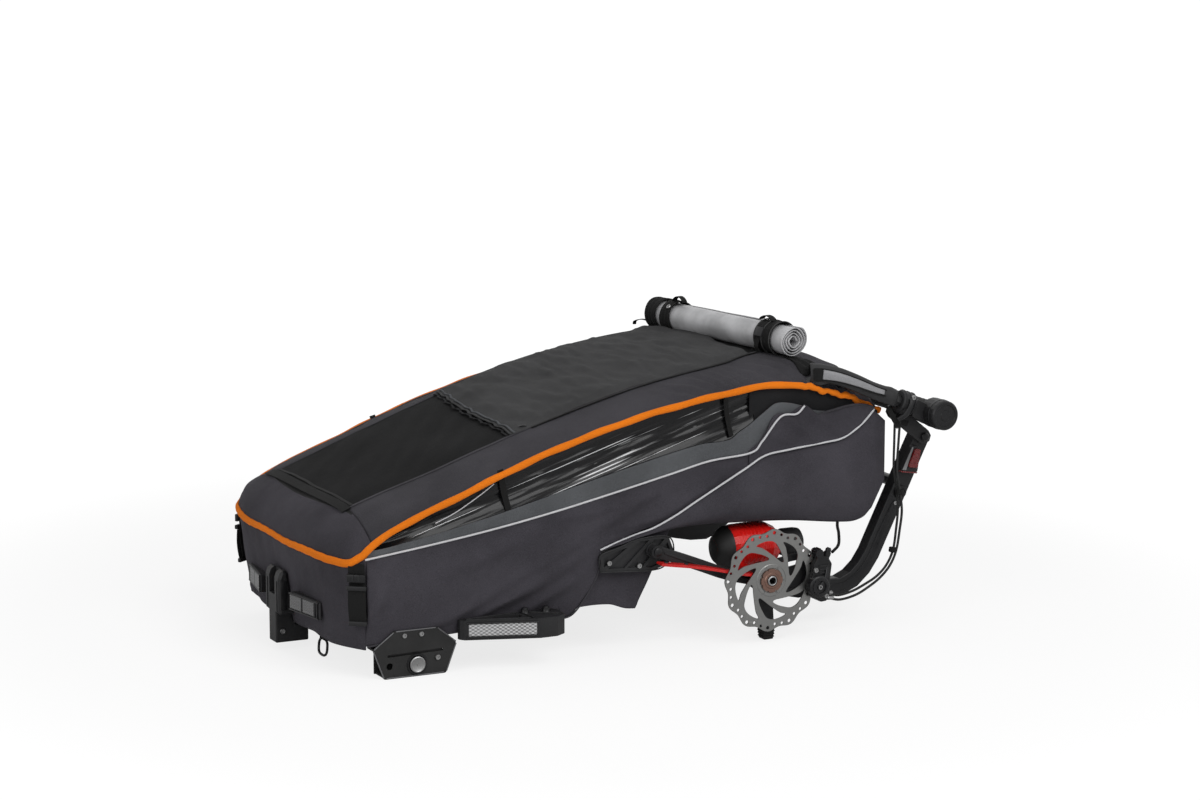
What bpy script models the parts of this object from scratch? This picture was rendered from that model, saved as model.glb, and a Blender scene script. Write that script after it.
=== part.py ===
# Child bike trailer, folded flat with its wheels and drawbar taken off.
# +X points to the rear (push bar), -Y is the trailer's left side, +Z is up, metres.
import math

import bmesh
import bpy
from mathutils import Matrix, Vector

for item in list(bpy.data.objects):
    bpy.data.objects.remove(item, do_unlink=True)

# Clearances
touch_gap = 0.0003          # between pieces that seat on each other
run_gap = 0.0010            # between pieces that slide or turn past each other

# Chassis tubes
rail_y = 0.200              # centre plane of a side rail
rail_radius = 0.011
floor_z = 0.084             # height of the rails along the footwell
rail_rear = (0.385, 0.313)  # x, z of the rail's rear end
cross_radius = 0.010

# Folding frame
fold_x, fold_z = -0.4285, 0.198     # fold axis of the upper frame
pivot_radius = 0.005
roof_y = 0.2225                     # roof tube centre plane under the canopy
roof_radius = 0.010
arm_y = 0.262                       # roof tube end, clamp collar and push bar arm
collar_x, collar_z = 0.459, 0.350
collar_radius = 0.019
collar_length = 0.024
bar_x, bar_z = 0.5095, 0.332        # push bar axis
bar_radius = 0.0165
slide_radius = 0.0070               # inner tube that the push bar slides on
slide_length = 0.055
sleeve_radius = 0.0235
sleeve_end = 0.302                  # outer face of the push bar's end caps

# Rear posts
post_y = 0.230
post_thick = 0.024
post_half_width = 0.0142
post_pin_x, post_pin_z = 0.505, 0.290
hinge_plate_thick = 0.005

# Fabric
sheet_thick = 0.005
canopy_thick = 0.005
canopy_half = 0.250         # to the piped edge
panel_y = 0.2515            # outer face of the side panel
pocket_y = 0.268            # outer face of the puffed rear pocket
window_y = 0.2380           # outer face of the clear side window
bag_half = 0.211            # half width of the luggage bag's rear wall
nose_x = -0.494             # foremost point of the nose fabric
nose_bow = 0.028            # how far the nose falls back from its middle to its corner
mount_front = -0.5013       # front face of the nose mount
nose_z = 0.178              # height of the piping across the nose

# Wheel side
axle_x, axle_z = 0.2025, 0.099
rotor_y = 0.300
rotor_radius = 0.078        # mean radius of the wavy rim
rotor_wave = 0.0025
rotor_waves = 12
rotor_thick = 0.002
rotor_angle = math.radians(86)      # one big rim hole, and the wave's crest
window_count = 8
lock_ring_radius = 0.0187
boss_radius = 0.0078        # rotor's central sleeve
axle_bore = 0.0055
arm_pivot_x, arm_pivot_z = 0.018, 0.157
arm_in, arm_out = 0.2635, 0.2785    # inner and outer face of a swing arm
arm_half = 0.009
hub_plate = 0.2868          # outer face of the swing arm's hub boss
plate_in, plate_out = 0.2520, 0.2600  # suspension plate
leaf_thick = 0.0042
leaf_width = 0.018
foot_height = 0.018

# Drawbar bracket on the left side
bracket_y = 0.2500          # outer face
bracket_wall = 0.0030
bracket_depth = 0.042
button_radius = 0.0125

# Rolled rain cover
roll_radius = 0.0245
roll_turns = 4
roll_sheet = 0.0022

colours = {
    "fabric": ((0.022, 0.022, 0.025), 0.9, 0.0),
    "clear": ((0.05, 0.05, 0.05), 0.15, 0.0),
    "tube": ((0.015, 0.015, 0.015), 0.4, 0.3),
    "plastic": ((0.02, 0.02, 0.02), 0.5, 0.0),
    "rubber": ((0.015, 0.015, 0.015), 0.8, 0.0),
    "steel": ((0.62, 0.62, 0.62), 0.3, 1.0),
    "ring": ((0.10, 0.07, 0.06), 0.4, 0.8),
    "red": ((0.75, 0.03, 0.02), 0.35, 0.2),
    "grey": ((0.30, 0.30, 0.30), 0.5, 0.0),
    "red_lens": ((0.45, 0.01, 0.01), 0.2, 0.0),
    "seat": ((0.05, 0.05, 0.055), 0.9, 0.0),
    "foam": ((0.025, 0.025, 0.025), 0.75, 0.0),
}

parts = bpy.data.collections.new("child_bike_trailer")
cutters = bpy.data.collections.new("cutters")
bpy.context.scene.collection.children.link(parts)
bpy.context.scene.collection.children.link(cutters)

# Everything hangs on one empty, which puts x = 0 at the middle of the whole length.
trailer = bpy.data.objects.new("trailer", None)
trailer.location = (-(mount_front + bar_x + sleeve_radius) / 2, 0.0, 0.0)
parts.objects.link(trailer)


def material(key):
    found = bpy.data.materials.get(key)
    if found:
        return found
    colour, roughness, metallic = colours[key]
    made = bpy.data.materials.new(key)
    made.use_nodes = True
    shader = made.node_tree.nodes["Principled BSDF"]
    shader.inputs["Base Color"].default_value = (*colour, 1.0)
    shader.inputs["Roughness"].default_value = roughness
    shader.inputs["Metallic"].default_value = metallic
    return made


def body(name, x, y, z):
    # An empty on a joint's axis carries the pieces that move with it.
    empty = bpy.data.objects.new(name, None)
    empty.location = (x, y, z)
    parts.objects.link(empty)
    empty.parent = trailer
    return empty


def place(obj, carrier, key, smooth=True):
    obj.data.materials.clear()
    obj.data.materials.append(material(key))
    if smooth:
        obj.data.shade_smooth()
        obj.data.set_sharp_from_angle(angle=math.radians(35))
    obj.parent = carrier
    obj.matrix_parent_inverse = Matrix.Translation(-Vector(carrier.location))
    return obj


def mesh_object(name, fill, target=None):
    bm = bmesh.new()
    fill(bm)
    mesh = bpy.data.meshes.new(name)
    bm.to_mesh(mesh)
    bm.free()
    obj = bpy.data.objects.new(name, mesh)
    (target or parts).objects.link(obj)
    return obj


def from_curve(curve, name, matrix, merge=0.00002, target=None):
    # Converts a curve to a welded mesh, so that it can be cut, joined and bevelled.
    temp = bpy.data.objects.new(name + "_curve", curve)
    bpy.context.scene.collection.objects.link(temp)
    temp.matrix_world = matrix
    bpy.context.view_layer.update()
    evaluated = temp.evaluated_get(bpy.context.evaluated_depsgraph_get())
    mesh = bpy.data.meshes.new_from_object(evaluated)
    mesh.name = name
    bm = bmesh.new()
    bm.from_mesh(mesh)
    bmesh.ops.remove_doubles(bm, verts=bm.verts, dist=merge)
    bmesh.ops.recalc_face_normals(bm, faces=bm.faces)
    bm.to_mesh(mesh)
    bm.free()
    obj = bpy.data.objects.new(name, mesh)
    obj.matrix_world = temp.matrix_world.copy()
    (target or parts).objects.link(obj)
    bpy.data.objects.remove(temp, do_unlink=True)
    return obj


def poly_spline(curve, points, closed):
    spline = curve.splines.new("POLY")
    spline.points.add(len(points) - 1)
    for spot, point in zip(spline.points, points):
        spot.co = (*point, 1.0)
    spline.use_cyclic_u = closed


def smooth_line(points, count):
    # Catmull-Rom line through the points, read at even steps of its parameter.
    knots = [Vector(p) for p in points]
    first = knots[0] * 2 - knots[1]
    last = knots[-1] * 2 - knots[-2]
    knots = [first] + knots + [last]
    spans = len(knots) - 3
    line = []
    for i in range(count):
        at = i * spans / (count - 1)
        k = min(int(at), spans - 1)
        t = at - k
        a, b, c, d = knots[k:k + 4]
        line.append(0.5 * (2 * b + (c - a) * t + (2 * a - 5 * b + 4 * c - d) * t * t
                           + (3 * b - a - 3 * c + d) * t ** 3))
    return line


def even(line, count):
    # The same line read at even distances.
    lengths = [0.0]
    for a, b in zip(line, line[1:]):
        lengths.append(lengths[-1] + (b - a).length)
    out = []
    k = 0
    for i in range(count):
        goal = lengths[-1] * i / (count - 1)
        while k < len(line) - 2 and lengths[k + 1] < goal:
            k += 1
        t = (goal - lengths[k]) / (lengths[k + 1] - lengths[k])
        out.append(line[k].lerp(line[k + 1], t))
    return out


def at_x(points, x):
    # Height of a smooth line of (x, z) points at x.
    if x <= points[0][0]:
        return points[0][1]
    for i in range(len(points) - 1):
        x0, z0 = points[i]
        x1, z1 = points[i + 1]
        if x <= x1:
            before = points[max(i - 1, 0)]
            after = points[min(i + 2, len(points) - 1)]
            slope0 = (z1 - before[1]) / (x1 - before[0])
            slope1 = (after[1] - z0) / (after[0] - x0)
            t = (x - x0) / (x1 - x0)
            span = x1 - x0
            return ((2 * t ** 3 - 3 * t ** 2 + 1) * z0 + (t ** 3 - 2 * t ** 2 + t) * span * slope0
                    + (3 * t ** 2 - 2 * t ** 3) * z1 + (t ** 3 - t ** 2) * span * slope1)
    return points[-1][1]


def ease(t):
    t = min(max(t, 0.0), 1.0)
    return t * t * (3 - 2 * t)


def tube(name, points, radius, carrier, key, count=0, resolution=2):
    # Round tube along a smooth line through the points.
    line = smooth_line(points, count) if count else [Vector(p) for p in points]
    curve = bpy.data.curves.new(name, "CURVE")
    curve.dimensions = "3D"
    curve.bevel_depth = radius
    curve.bevel_resolution = resolution
    curve.use_fill_caps = True
    poly_spline(curve, line, False)
    obj = from_curve(curve, name, Matrix.Identity(4))
    return place(obj, carrier, key)


def rounded(points, radius, steps=3):
    # Outline with its corners turned into arcs; radius is one value or one per corner.
    radii = radius if isinstance(radius, (list, tuple)) else [radius] * len(points)
    out = []
    for i, corner in enumerate(points):
        here = Vector(corner)
        to_last = (Vector(points[i - 1]) - here)
        to_next = (Vector(points[(i + 1) % len(points)]) - here)
        half = to_last.angle(to_next) / 2
        room = 0.45 * min(to_last.length, to_next.length)
        reach = min(radii[i] / math.tan(half), room)
        if reach < 1e-5:
            out.append(here)
            continue
        r = reach * math.tan(half)
        middle = here + (to_last.normalized() + to_next.normalized()).normalized() * (r / math.sin(half))
        start = here + to_last.normalized() * reach - middle
        end = here + to_next.normalized() * reach - middle
        sweep = start.angle_signed(end)
        for k in range(steps + 1):
            turn = Matrix.Rotation(-sweep * k / steps, 2)
            out.append(middle + turn @ start)
    return out


def ring_loop(x, z, radius, sides=12, start=0.0):
    return [(x + radius * math.cos(start + math.tau * i / sides),
             z + radius * math.sin(start + math.tau * i / sides)) for i in range(sides)]


def ribbon(line, half_width, cap_steps=5):
    # Outline of a strip with round ends along a line of (x, z) points.
    line = [Vector(p) for p in line]
    left, right = [], []
    for i, spot in enumerate(line):
        ahead = line[min(i + 1, len(line) - 1)] - line[max(i - 1, 0)]
        side = Vector((-ahead.y, ahead.x)).normalized() * half_width
        left.append(spot + side)
        right.append(spot - side)
    end = [line[-1] + Matrix.Rotation(-math.pi * k / cap_steps, 2) @ (left[-1] - line[-1])
           for k in range(1, cap_steps)]
    start = [line[0] + Matrix.Rotation(-math.pi * k / cap_steps, 2) @ (right[0] - line[0])
             for k in range(1, cap_steps)]
    return left + end + right[::-1] + start


def slab(name, loops, y_low, y_high, carrier, key, bevel=0.0, segments=2, target=None, along="Y"):
    # Flat outline with holes, thickened between two planes. Loops are (x, z) points for an
    # outline seen along Y, and (x, y) points for one seen along Z.
    curve = bpy.data.curves.new(name, "CURVE")
    curve.dimensions = "2D"
    curve.fill_mode = "BOTH"
    curve.extrude = abs(y_high - y_low) / 2
    for loop in loops:
        poly_spline(curve, [(p[0], p[1], 0.0) for p in loop], True)
    middle = (y_low + y_high) / 2
    if along == "Y":
        matrix = Matrix.Translation((0, middle, 0)) @ Matrix.Rotation(math.pi / 2, 4, "X")
    else:
        matrix = Matrix.Translation((0, 0, middle))
    obj = from_curve(curve, name, matrix, target=target)
    obj.data.transform(obj.matrix_world)
    obj.matrix_world = Matrix.Identity(4)
    if bevel:
        add_bevel(obj, bevel, segments)
    if target is None:
        place(obj, carrier, key)
    return obj


def add_bevel(obj, width, segments):
    mod = obj.modifiers.new("edge", "BEVEL")
    mod.width = width
    mod.segments = segments
    mod.limit_method = "ANGLE"
    mod.angle_limit = math.radians(40)


def block(name, low, high, carrier, key, bevel=0.0, segments=2, target=None):
    centre = (Vector(low) + Vector(high)) / 2
    size = Vector(high) - Vector(low)
    size = Vector((abs(size.x), abs(size.y), abs(size.z)))

    def fill(bm):
        bmesh.ops.create_cube(bm, size=1.0, matrix=Matrix.Translation(centre) @ Matrix.Diagonal((*size, 1.0)))
    obj = mesh_object(name, fill, target)
    if bevel:
        add_bevel(obj, bevel, segments)
    if target is None:
        place(obj, carrier, key, smooth=bevel > 0)
    return obj


def rod(name, start, end, radius, carrier, key, sides=20, end_radius=None, bevel=0.0, target=None):
    a, b = Vector(start), Vector(end)
    turn = (b - a).to_track_quat("Z", "Y").to_matrix().to_4x4()

    def fill(bm):
        bmesh.ops.create_cone(bm, cap_ends=True, segments=sides, radius1=radius,
                              radius2=radius if end_radius is None else end_radius,
                              depth=(b - a).length, matrix=Matrix.Translation((a + b) / 2) @ turn)
    obj = mesh_object(name, fill, target)
    if bevel:
        add_bevel(obj, bevel, 2)
    if target is None:
        place(obj, carrier, key)
    return obj


def turned(name, profile, origin, axis, carrier, key, steps=24, target=None, closed=False):
    # Profile of (radius, height) points from the top down its outer side, turned about the axis.
    mesh = bpy.data.meshes.new(name)
    count = len(profile)
    edges = [(i, (i + 1) % count) for i in range(count if closed else count - 1)]
    mesh.from_pydata([(r, 0, z) for r, z in profile], edges, [])
    obj = bpy.data.objects.new(name, mesh)
    (target or parts).objects.link(obj)
    mod = obj.modifiers.new("turn", "SCREW")
    mod.steps = steps
    mod.render_steps = steps
    mod.use_merge_vertices = True
    mod.merge_threshold = 0.00005
    obj.matrix_world = Matrix.Translation(origin) @ Vector(axis).to_track_quat("Z", "Y").to_matrix().to_4x4()
    if target is None:
        placed = obj.matrix_world.copy()
        place(obj, carrier, key, smooth=False)
        obj.matrix_parent_inverse = Matrix.Translation(-Vector(carrier.location))
        obj.matrix_basis = placed
    return obj


def combine(obj, other, operation):
    mod = obj.modifiers.new(operation.lower(), "BOOLEAN")
    mod.operation = operation
    mod.object = other
    mod.solver = "EXACT"
    other.hide_render = True
    other.display_type = "WIRE"
    return obj


def sheet(name, across, along, spot, thick, carrier, key, flip=False):
    # Curved sheet: spot(u, v) gives the outer surface for u, v in 0..1, thickened inward.
    def fill(bm):
        bmesh.ops.create_grid(bm, x_segments=across, y_segments=along, size=0.5)
        for vert in bm.verts:
            vert.co = spot(vert.co.x + 0.5, vert.co.y + 0.5)
        if flip:
            bmesh.ops.reverse_faces(bm, faces=bm.faces)
    obj = mesh_object(name, fill)
    mod = obj.modifiers.new("wall", "SOLIDIFY")
    mod.thickness = thick
    mod.offset = -1.0
    mod.use_even_offset = True
    return place(obj, carrier, key)


def cushion(name, size, matrix, channels, carrier, key):
    # Padded block with a crowned top, drawn-in sides and sewn channels across it.
    half = [value / 2 for value in size]

    def fill(bm):
        bmesh.ops.create_cube(bm, size=2.0)
        bmesh.ops.subdivide_edges(bm, edges=bm.edges, cuts=5, use_grid_fill=True)
        for vert in bm.verts:
            a, b, c = vert.co
            draw = 0.05 * (1 - c * c)
            x = a * half[0] * (1 - draw - 0.03 * (1 - b * b))
            y = b * half[1] * (1 - draw - 0.03 * (1 - a * a))
            round_off = 0.45 if c > 0 else 0.04
            z = c * half[2] * (1 - round_off * a ** 4) * (1 - round_off * b ** 4)
            if c > 0:
                z -= c * sum(0.006 * math.exp(-((a - at) / 0.09) ** 2) for at in channels)
            vert.co = matrix @ Vector((x, y, z))
    return place(mesh_object(name, fill), carrier, key)


# Lines of the fabric body, as (x, z) points
piping_line = [(-0.470, 0.180), (-0.410, 0.222), (-0.310, 0.262), (-0.160, 0.318), (-0.010, 0.360),
               (0.090, 0.379), (0.190, 0.388), (0.260, 0.387), (0.330, 0.370), (0.420, 0.338)]
crown_line = [(-0.437, 0.247), (-0.290, 0.299), (-0.170, 0.341), (-0.050, 0.380), (0.050, 0.404),
              (0.175, 0.423), (0.270, 0.427), (0.350, 0.420), (0.430, 0.386)]
trim_line = [(-0.465, 0.180), (-0.4435, 0.205), (-0.335, 0.229), (-0.172, 0.266), (0.028, 0.306),
             (0.096, 0.315), (0.166, 0.323), (0.200, 0.342), (0.240, 0.356), (0.300, 0.352), (0.410, 0.330)]
skirt_line = [(-0.480, 0.046), (-0.4435, 0.051), (-0.285, 0.059), (-0.137, 0.063), (-0.030, 0.062),
              (0.008, 0.064), (0.020, 0.075), (0.080, 0.188), (0.120, 0.203), (0.410, 0.206)]
pocket_top = [(-0.066, 0.166), (-0.036, 0.180), (-0.010, 0.191), (0.058, 0.226), (0.126, 0.258),
              (0.186, 0.281), (0.222, 0.293), (0.266, 0.298), (0.328, 0.301), (0.362, 0.315),
              (0.394, 0.334), (0.420, 0.338), (0.4325, 0.3165)]
pocket_bottom = [(-0.066, 0.160), (-0.036, 0.171), (-0.010, 0.183), (0.0825, 0.186), (0.1695, 0.184),
                 (0.2575, 0.179), (0.3645, 0.167), (0.392, 0.172), (0.418, 0.196), (0.4335, 0.232)]

chassis = body("chassis", 0.0, 0.0, 0.0)
upper = body("upper_frame", fold_x, 0.0, fold_z)
rear = body("rear_frame", post_pin_x, 0.0, post_pin_z)
push = body("push_bar", collar_x, 0.0, collar_z)
button_axis = body("button_axis", -0.3675, -bracket_y, 0.0185)


def label(side):
    return "_left" if side < 0 else "_right"


def edge_half(x):
    # Half width of the canopy's piped edge; it draws in behind the shoulders.
    return canopy_half - 0.0015 * ease((-0.42 - x) / 0.016) - 0.045 * ease((x - 0.20) / 0.07)


def panel_half(z):
    # Outer face of the side panel, drawn in towards its lower hem.
    return panel_y - 0.0075 * (1 - ease((z - 0.055) / 0.065))


def rails():
    line = [(-0.4265, 0.206), (-0.4305, 0.193), (-0.4475, 0.155), (-0.449, 0.110), (-0.422, 0.086), (-0.250, floor_z),
            (-0.100, floor_z), (-0.020, 0.108), (0.060, 0.193), (0.130, 0.234), (0.300, 0.287), rail_rear]
    for side in (-1, 1):
        rail = tube("rail" + label(side), [(x, side * rail_y, z) for x, z in line], rail_radius, chassis,
                    "tube", count=24)
        pin = rod("pivot_pin" + label(side), (fold_x, side * (rail_y + 0.004), fold_z),
                  (fold_x, side * (roof_y + 0.0115), fold_z), pivot_radius, None, None, sides=12, target=cutters)
        combine(rail, pin, "UNION")
    spans = {"front_cross_tube": (-0.4500, 0.137), "middle_cross_tube": (0.100, 0.2195),
             "rear_cross_tube": (0.355, 0.3040)}
    reach = rail_y - rail_radius - touch_gap
    for name, (x, z) in spans.items():
        rod(name, (x, -reach, z), (x, reach, z), cross_radius, chassis, "tube", sides=16)


def floor_and_seat():
    reach = rail_y - 0.0094
    top = floor_z - 0.006
    block("floor_pan", (-0.420, -reach, top - 0.004), (-0.060, reach, top), chassis, "fabric")
    pad = (0.170, 0.330, 0.036)
    cushion("seat_pad", pad, Matrix.Translation((-0.160, 0, top + touch_gap + pad[2] / 2)), (-0.4, 0.4),
            chassis, "seat")
    # The back rest lies on the middle and rear cross tubes.
    back = (0.285, 0.330, 0.030)
    slope = math.atan2(0.3040 - 0.2195, 0.355 - 0.100)
    lift = cross_radius + touch_gap + back[2] / 2
    centre = Vector((0.2275, 0, 0.26175)) + Vector((-math.sin(slope), 0, math.cos(slope))) * lift
    cushion("seat_back", back, Matrix.Translation(centre) @ Matrix.Rotation(-slope, 4, "Y"), (-0.5, 0.0, 0.5),
            chassis, "seat")


def nose_plan(u, middle, bow):
    # Plan outline of the nose: bowed front, then round the corner to the side panel.
    across = 2 * u - 1
    far = abs(across)
    corner = middle + bow
    if far <= 0.86:
        x = middle + bow * (far / 0.86) ** 4
        y = 0.235 * far / 0.86
        turn = 0.0
    else:
        turn = (far - 0.86) / 0.14
        x = corner + (-0.4462 - corner) * turn
        y = 0.235 + 0.0115 * turn
    return x, math.copysign(y, across), turn


def nose():
    low = 0.044

    def front(u, v):
        x, y, turn = nose_plan(u, nose_x + 0.022 * (1 - v), nose_bow - 0.009 * (1 - v))
        top = nose_z + 0.015 * turn - 0.0024
        return x, y * (1 - 0.03 * (1 - v)), low + (top - low) * v

    def fold(u, v):
        x, y, turn = nose_plan(u, nose_x, nose_bow)
        across = 2 * u - 1
        z = nose_z + 0.015 * turn
        end_y = edge_half(-0.4355) * across
        end_z = 0.2470 - (0.2470 - at_x(piping_line, -0.4365)) * abs(across) ** 4.5
        sweep = math.radians(70 * v)
        run = (1 - math.cos(sweep)) / (1 - math.cos(math.radians(70)))
        rise = math.sin(sweep) / math.sin(math.radians(70))
        return x + (-0.4368 - x) * run, y + (end_y - y) * run, z + (end_z - z) * rise
    sheet("nose_cover", 20, 3, front, sheet_thick, chassis, "fabric", flip=True)
    sheet("nose_fold", 20, 4, fold, sheet_thick, chassis, "fabric", flip=True)


def canopy():
    def spot(u, v):
        across = 2 * u - 1
        end = 0.430 - 0.010 * across * across
        x = -0.4362 + (end + 0.4362) * v
        crown = at_x(crown_line, x)
        z = crown - (crown - at_x(piping_line, x)) * abs(across) ** 4.5
        return x, edge_half(x) * across, z
    sheet("canopy", 16, 16, spot, canopy_thick, upper, "fabric", flip=True)


def side_panels():
    for side in (-1, 1):
        def spot(u, v):
            x = -0.4445 + 0.8545 * u
            top = min(at_x(trim_line, x), at_x(piping_line, x) - 0.010)
            z = at_x(skirt_line, x) * (1 - v) + top * v
            return x, side * panel_half(z), z
        sheet("side_panel" + label(side), 26, 3, spot, sheet_thick, chassis, "fabric", flip=side > 0)

        def clear(u, v):
            x = -0.360 + 0.550 * u
            crown = at_x(crown_line, x)
            drop = (window_y / canopy_half) ** 4.5
            top = crown - drop * (crown - at_x(piping_line, x)) - canopy_thick - 0.0029
            low = at_x(trim_line, x) - 0.012
            return x, side * window_y, low + (top - low) * v
        sheet("side_window" + label(side), 14, 2, clear, sheet_thick, upper, "clear", flip=side > 0)
        outline = smooth_line(pocket_top, 16) + smooth_line(pocket_bottom[::-1], 14)
        slab("side_pocket" + label(side), [outline], side * (panel_y + touch_gap), side * pocket_y, chassis,
             "fabric", bevel=0.006)


def rear_bag():
    steps = 15
    line = smooth_line([(0.094, 0.2052), (0.160, 0.2048), (0.220, 0.204), (0.330, 0.204), (0.385, 0.208), (0.425, 0.228),
                        (0.444, 0.262), (0.440, 0.315), (0.424, 0.3735)], steps + 1)

    def spot(u, v):
        x, z = line[round(v * steps)]
        across = 2 * u - 1
        far = abs(across) ** 3 * ease(v * 3 - 2)
        half = bag_half - 0.024 * (1 - ease((x - 0.100) / 0.030))
        return x - 0.003 * far, half * across, z - 0.047 * far
    sheet("rear_bag", 4, steps, spot, 0.004, chassis, "fabric")


def upper_frame():
    front = [(fold_x - 0.009, roof_y, fold_z - 0.005), (-0.410, roof_y, 0.2130), (-0.310, roof_y, 0.2515),
             (-0.160, roof_y, 0.3075), (-0.010, roof_y, 0.3500), (0.100, roof_y, 0.3690),
             (0.170, roof_y, 0.3720), (0.225, roof_y, 0.3700), (0.262, 0.2255, 0.3735), (0.295, 0.2385, 0.3880),
             (0.332, 0.2520, 0.3985), (0.368, 0.2595, 0.3855), (0.400, arm_y, 0.3711)]
    aim = Vector((bar_x - collar_x, 0, bar_z - collar_z)).normalized()
    for side in (-1, 1):
        end = Vector((collar_x, side * arm_y, collar_z))
        line = smooth_line([(x, side * y, z) for x, y, z in front], 24)
        line += [end - aim * 0.035, end + aim * collar_length / 2]
        roof = tube("roof_tube" + label(side), line, roof_radius, upper, "tube")
        bore = rod("roof_bore" + label(side), end - aim * (slide_length + 0.002), end + aim * 0.03,
                   slide_radius + 0.0004, None, None, sides=16, target=cutters)
        combine(roof, bore, "DIFFERENCE")
        eye = rod("roof_eye" + label(side), (fold_x, side * 0.19, fold_z), (fold_x, side * 0.25, fold_z),
                  pivot_radius + touch_gap, None, None, sides=12, target=cutters)
        combine(roof, eye, "DIFFERENCE")

        # Clamp collar with the hinge plate that carries the rear post.
        half = collar_length / 2
        inner = roof_radius + touch_gap
        profile = [(inner, half), (collar_radius - 0.002, half), (collar_radius, half - 0.002),
                   (collar_radius, 0.002 - half), (collar_radius - 0.002, -half), (inner, -half)]
        collar = turned("collar" + label(side), profile, end, aim, upper, "plastic", steps=14, closed=True)
        arm = ribbon([(0.4480, 0.3360), (post_pin_x, post_pin_z)], 0.012, cap_steps=4)
        plate = slab("plate_blank" + label(side), [arm], side * (post_y + post_thick / 2 + run_gap),
                     side * (post_y + post_thick / 2 + run_gap + hinge_plate_thick), None, None, target=cutters)
        combine(collar, plate, "UNION")
        sweep = rod("collar_clear" + label(side), end - aim * 0.04, end + aim * 0.04, inner, None, None,
                    sides=20, target=cutters)
        combine(collar, sweep, "DIFFERENCE")
        pin = rod("post_pin" + label(side), (post_pin_x, side * (post_y - post_thick / 2 - 0.002), post_pin_z),
                  (post_pin_x, side * (post_y + post_thick / 2 + 0.0085), post_pin_z), 0.006, None, None,
                  sides=12, target=cutters)
        combine(collar, pin, "UNION")

        # Padded cover over the tube's shoulder, open below.
        path = [Vector((x, side * y, z)) for x, y, z in ((0.334, 0.2525, 0.3978), (0.368, 0.2595, 0.3855),
                                                        (0.400, arm_y, 0.3711), (0.438, arm_y, 0.3575))]
        path = smooth_line(path, 8)

        def spot(u, v):
            at = round(v * 7)
            ahead = (path[min(at + 1, 7)] - path[max(at - 1, 0)]).normalized()
            out = ahead.cross(Vector((0, 0, 1))).normalized() * -1
            rise = out.cross(ahead) * -1
            angle = math.radians(-128 + 256 * u)
            return path[at] + out * 0.0140 * math.sin(angle) + rise * 0.0165 * math.cos(angle)
        sheet("shoulder_cover" + label(side), 9, 7, spot, 0.0025, upper, "fabric", flip=True)
    reach = roof_y - roof_radius - 0.0025
    bow = smooth_line([(0.190, -reach, 0.3740), (0.190, -0.195, 0.3860), (0.190, -0.150, 0.4020),
                       (0.190, 0.0, 0.4110), (0.190, 0.150, 0.4020), (0.190, 0.195, 0.3860),
                       (0.190, reach, 0.3740)], 13)
    tube("roof_bow", bow, 0.006, upper, "tube", resolution=2)


def cover_roll():
    start, end = Vector((0.294, -0.201, 0.4505)), Vector((0.240, 0.172, 0.4497))
    inside, steps = 0.0055, 16 * roll_turns
    centre = []
    for i in range(steps + 1):
        turn = math.tau * roll_turns * i / steps
        radius = inside + (roll_radius - roll_sheet / 2 - inside) * i / steps
        centre.append(Vector((radius * math.cos(turn), radius * math.sin(turn))))
    outline = ribbon(centre, roll_sheet / 2, cap_steps=2)
    curve = bpy.data.curves.new("cover_roll", "CURVE")
    curve.dimensions = "2D"
    curve.fill_mode = "BOTH"
    curve.extrude = (end - start).length / 2
    poly_spline(curve, [(p.x, p.y, 0.0) for p in outline], True)
    turn = (end - start).to_track_quat("Z", "X").to_matrix().to_4x4()
    roll = from_curve(curve, "cover_roll", Matrix.Translation((start + end) / 2) @ turn)
    roll.data.transform(roll.matrix_world)
    roll.matrix_world = Matrix.Identity(4)
    place(roll, upper, "clear")


def push_bar():
    aim = Vector((bar_x - collar_x, 0, bar_z - collar_z)).normalized()
    lift = Vector((-aim.z, 0, aim.x))
    low, high = arm_y - 0.0115, arm_y + 0.0125
    for side in (-1, 1):
        start = Vector((collar_x, 0, collar_z)) + aim * (collar_length / 2 + 0.0006)
        stop = Vector((bar_x, 0, bar_z))
        corners = [start + lift * 0.0120, stop + lift * 0.0060, stop - lift * 0.0225, start - lift * 0.0165]
        arm = slab("push_bar_arm" + label(side), [rounded([(p.x, p.z) for p in corners], 0.004)],
                   side * low, side * high, push, "plastic", bevel=0.004, segments=1)
        sleeve = rod("sleeve" + label(side), (bar_x, side * arm_y, bar_z), (bar_x, side * sleeve_end, bar_z),
                     sleeve_radius, None, None, sides=18, bevel=0.003, target=cutters)
        combine(arm, sleeve, "UNION")
        centre = Vector((collar_x, side * arm_y, collar_z))
        slide = rod("slide" + label(side), centre - aim * slide_length, centre + aim * 0.020, slide_radius,
                    None, None, sides=16, target=cutters)
        combine(arm, slide, "UNION")
    rod("push_bar_grip", (bar_x, touch_gap - low, bar_z), (bar_x, low - touch_gap, bar_z), bar_radius, push,
        "foam", sides=24, bevel=0.002)


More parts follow.
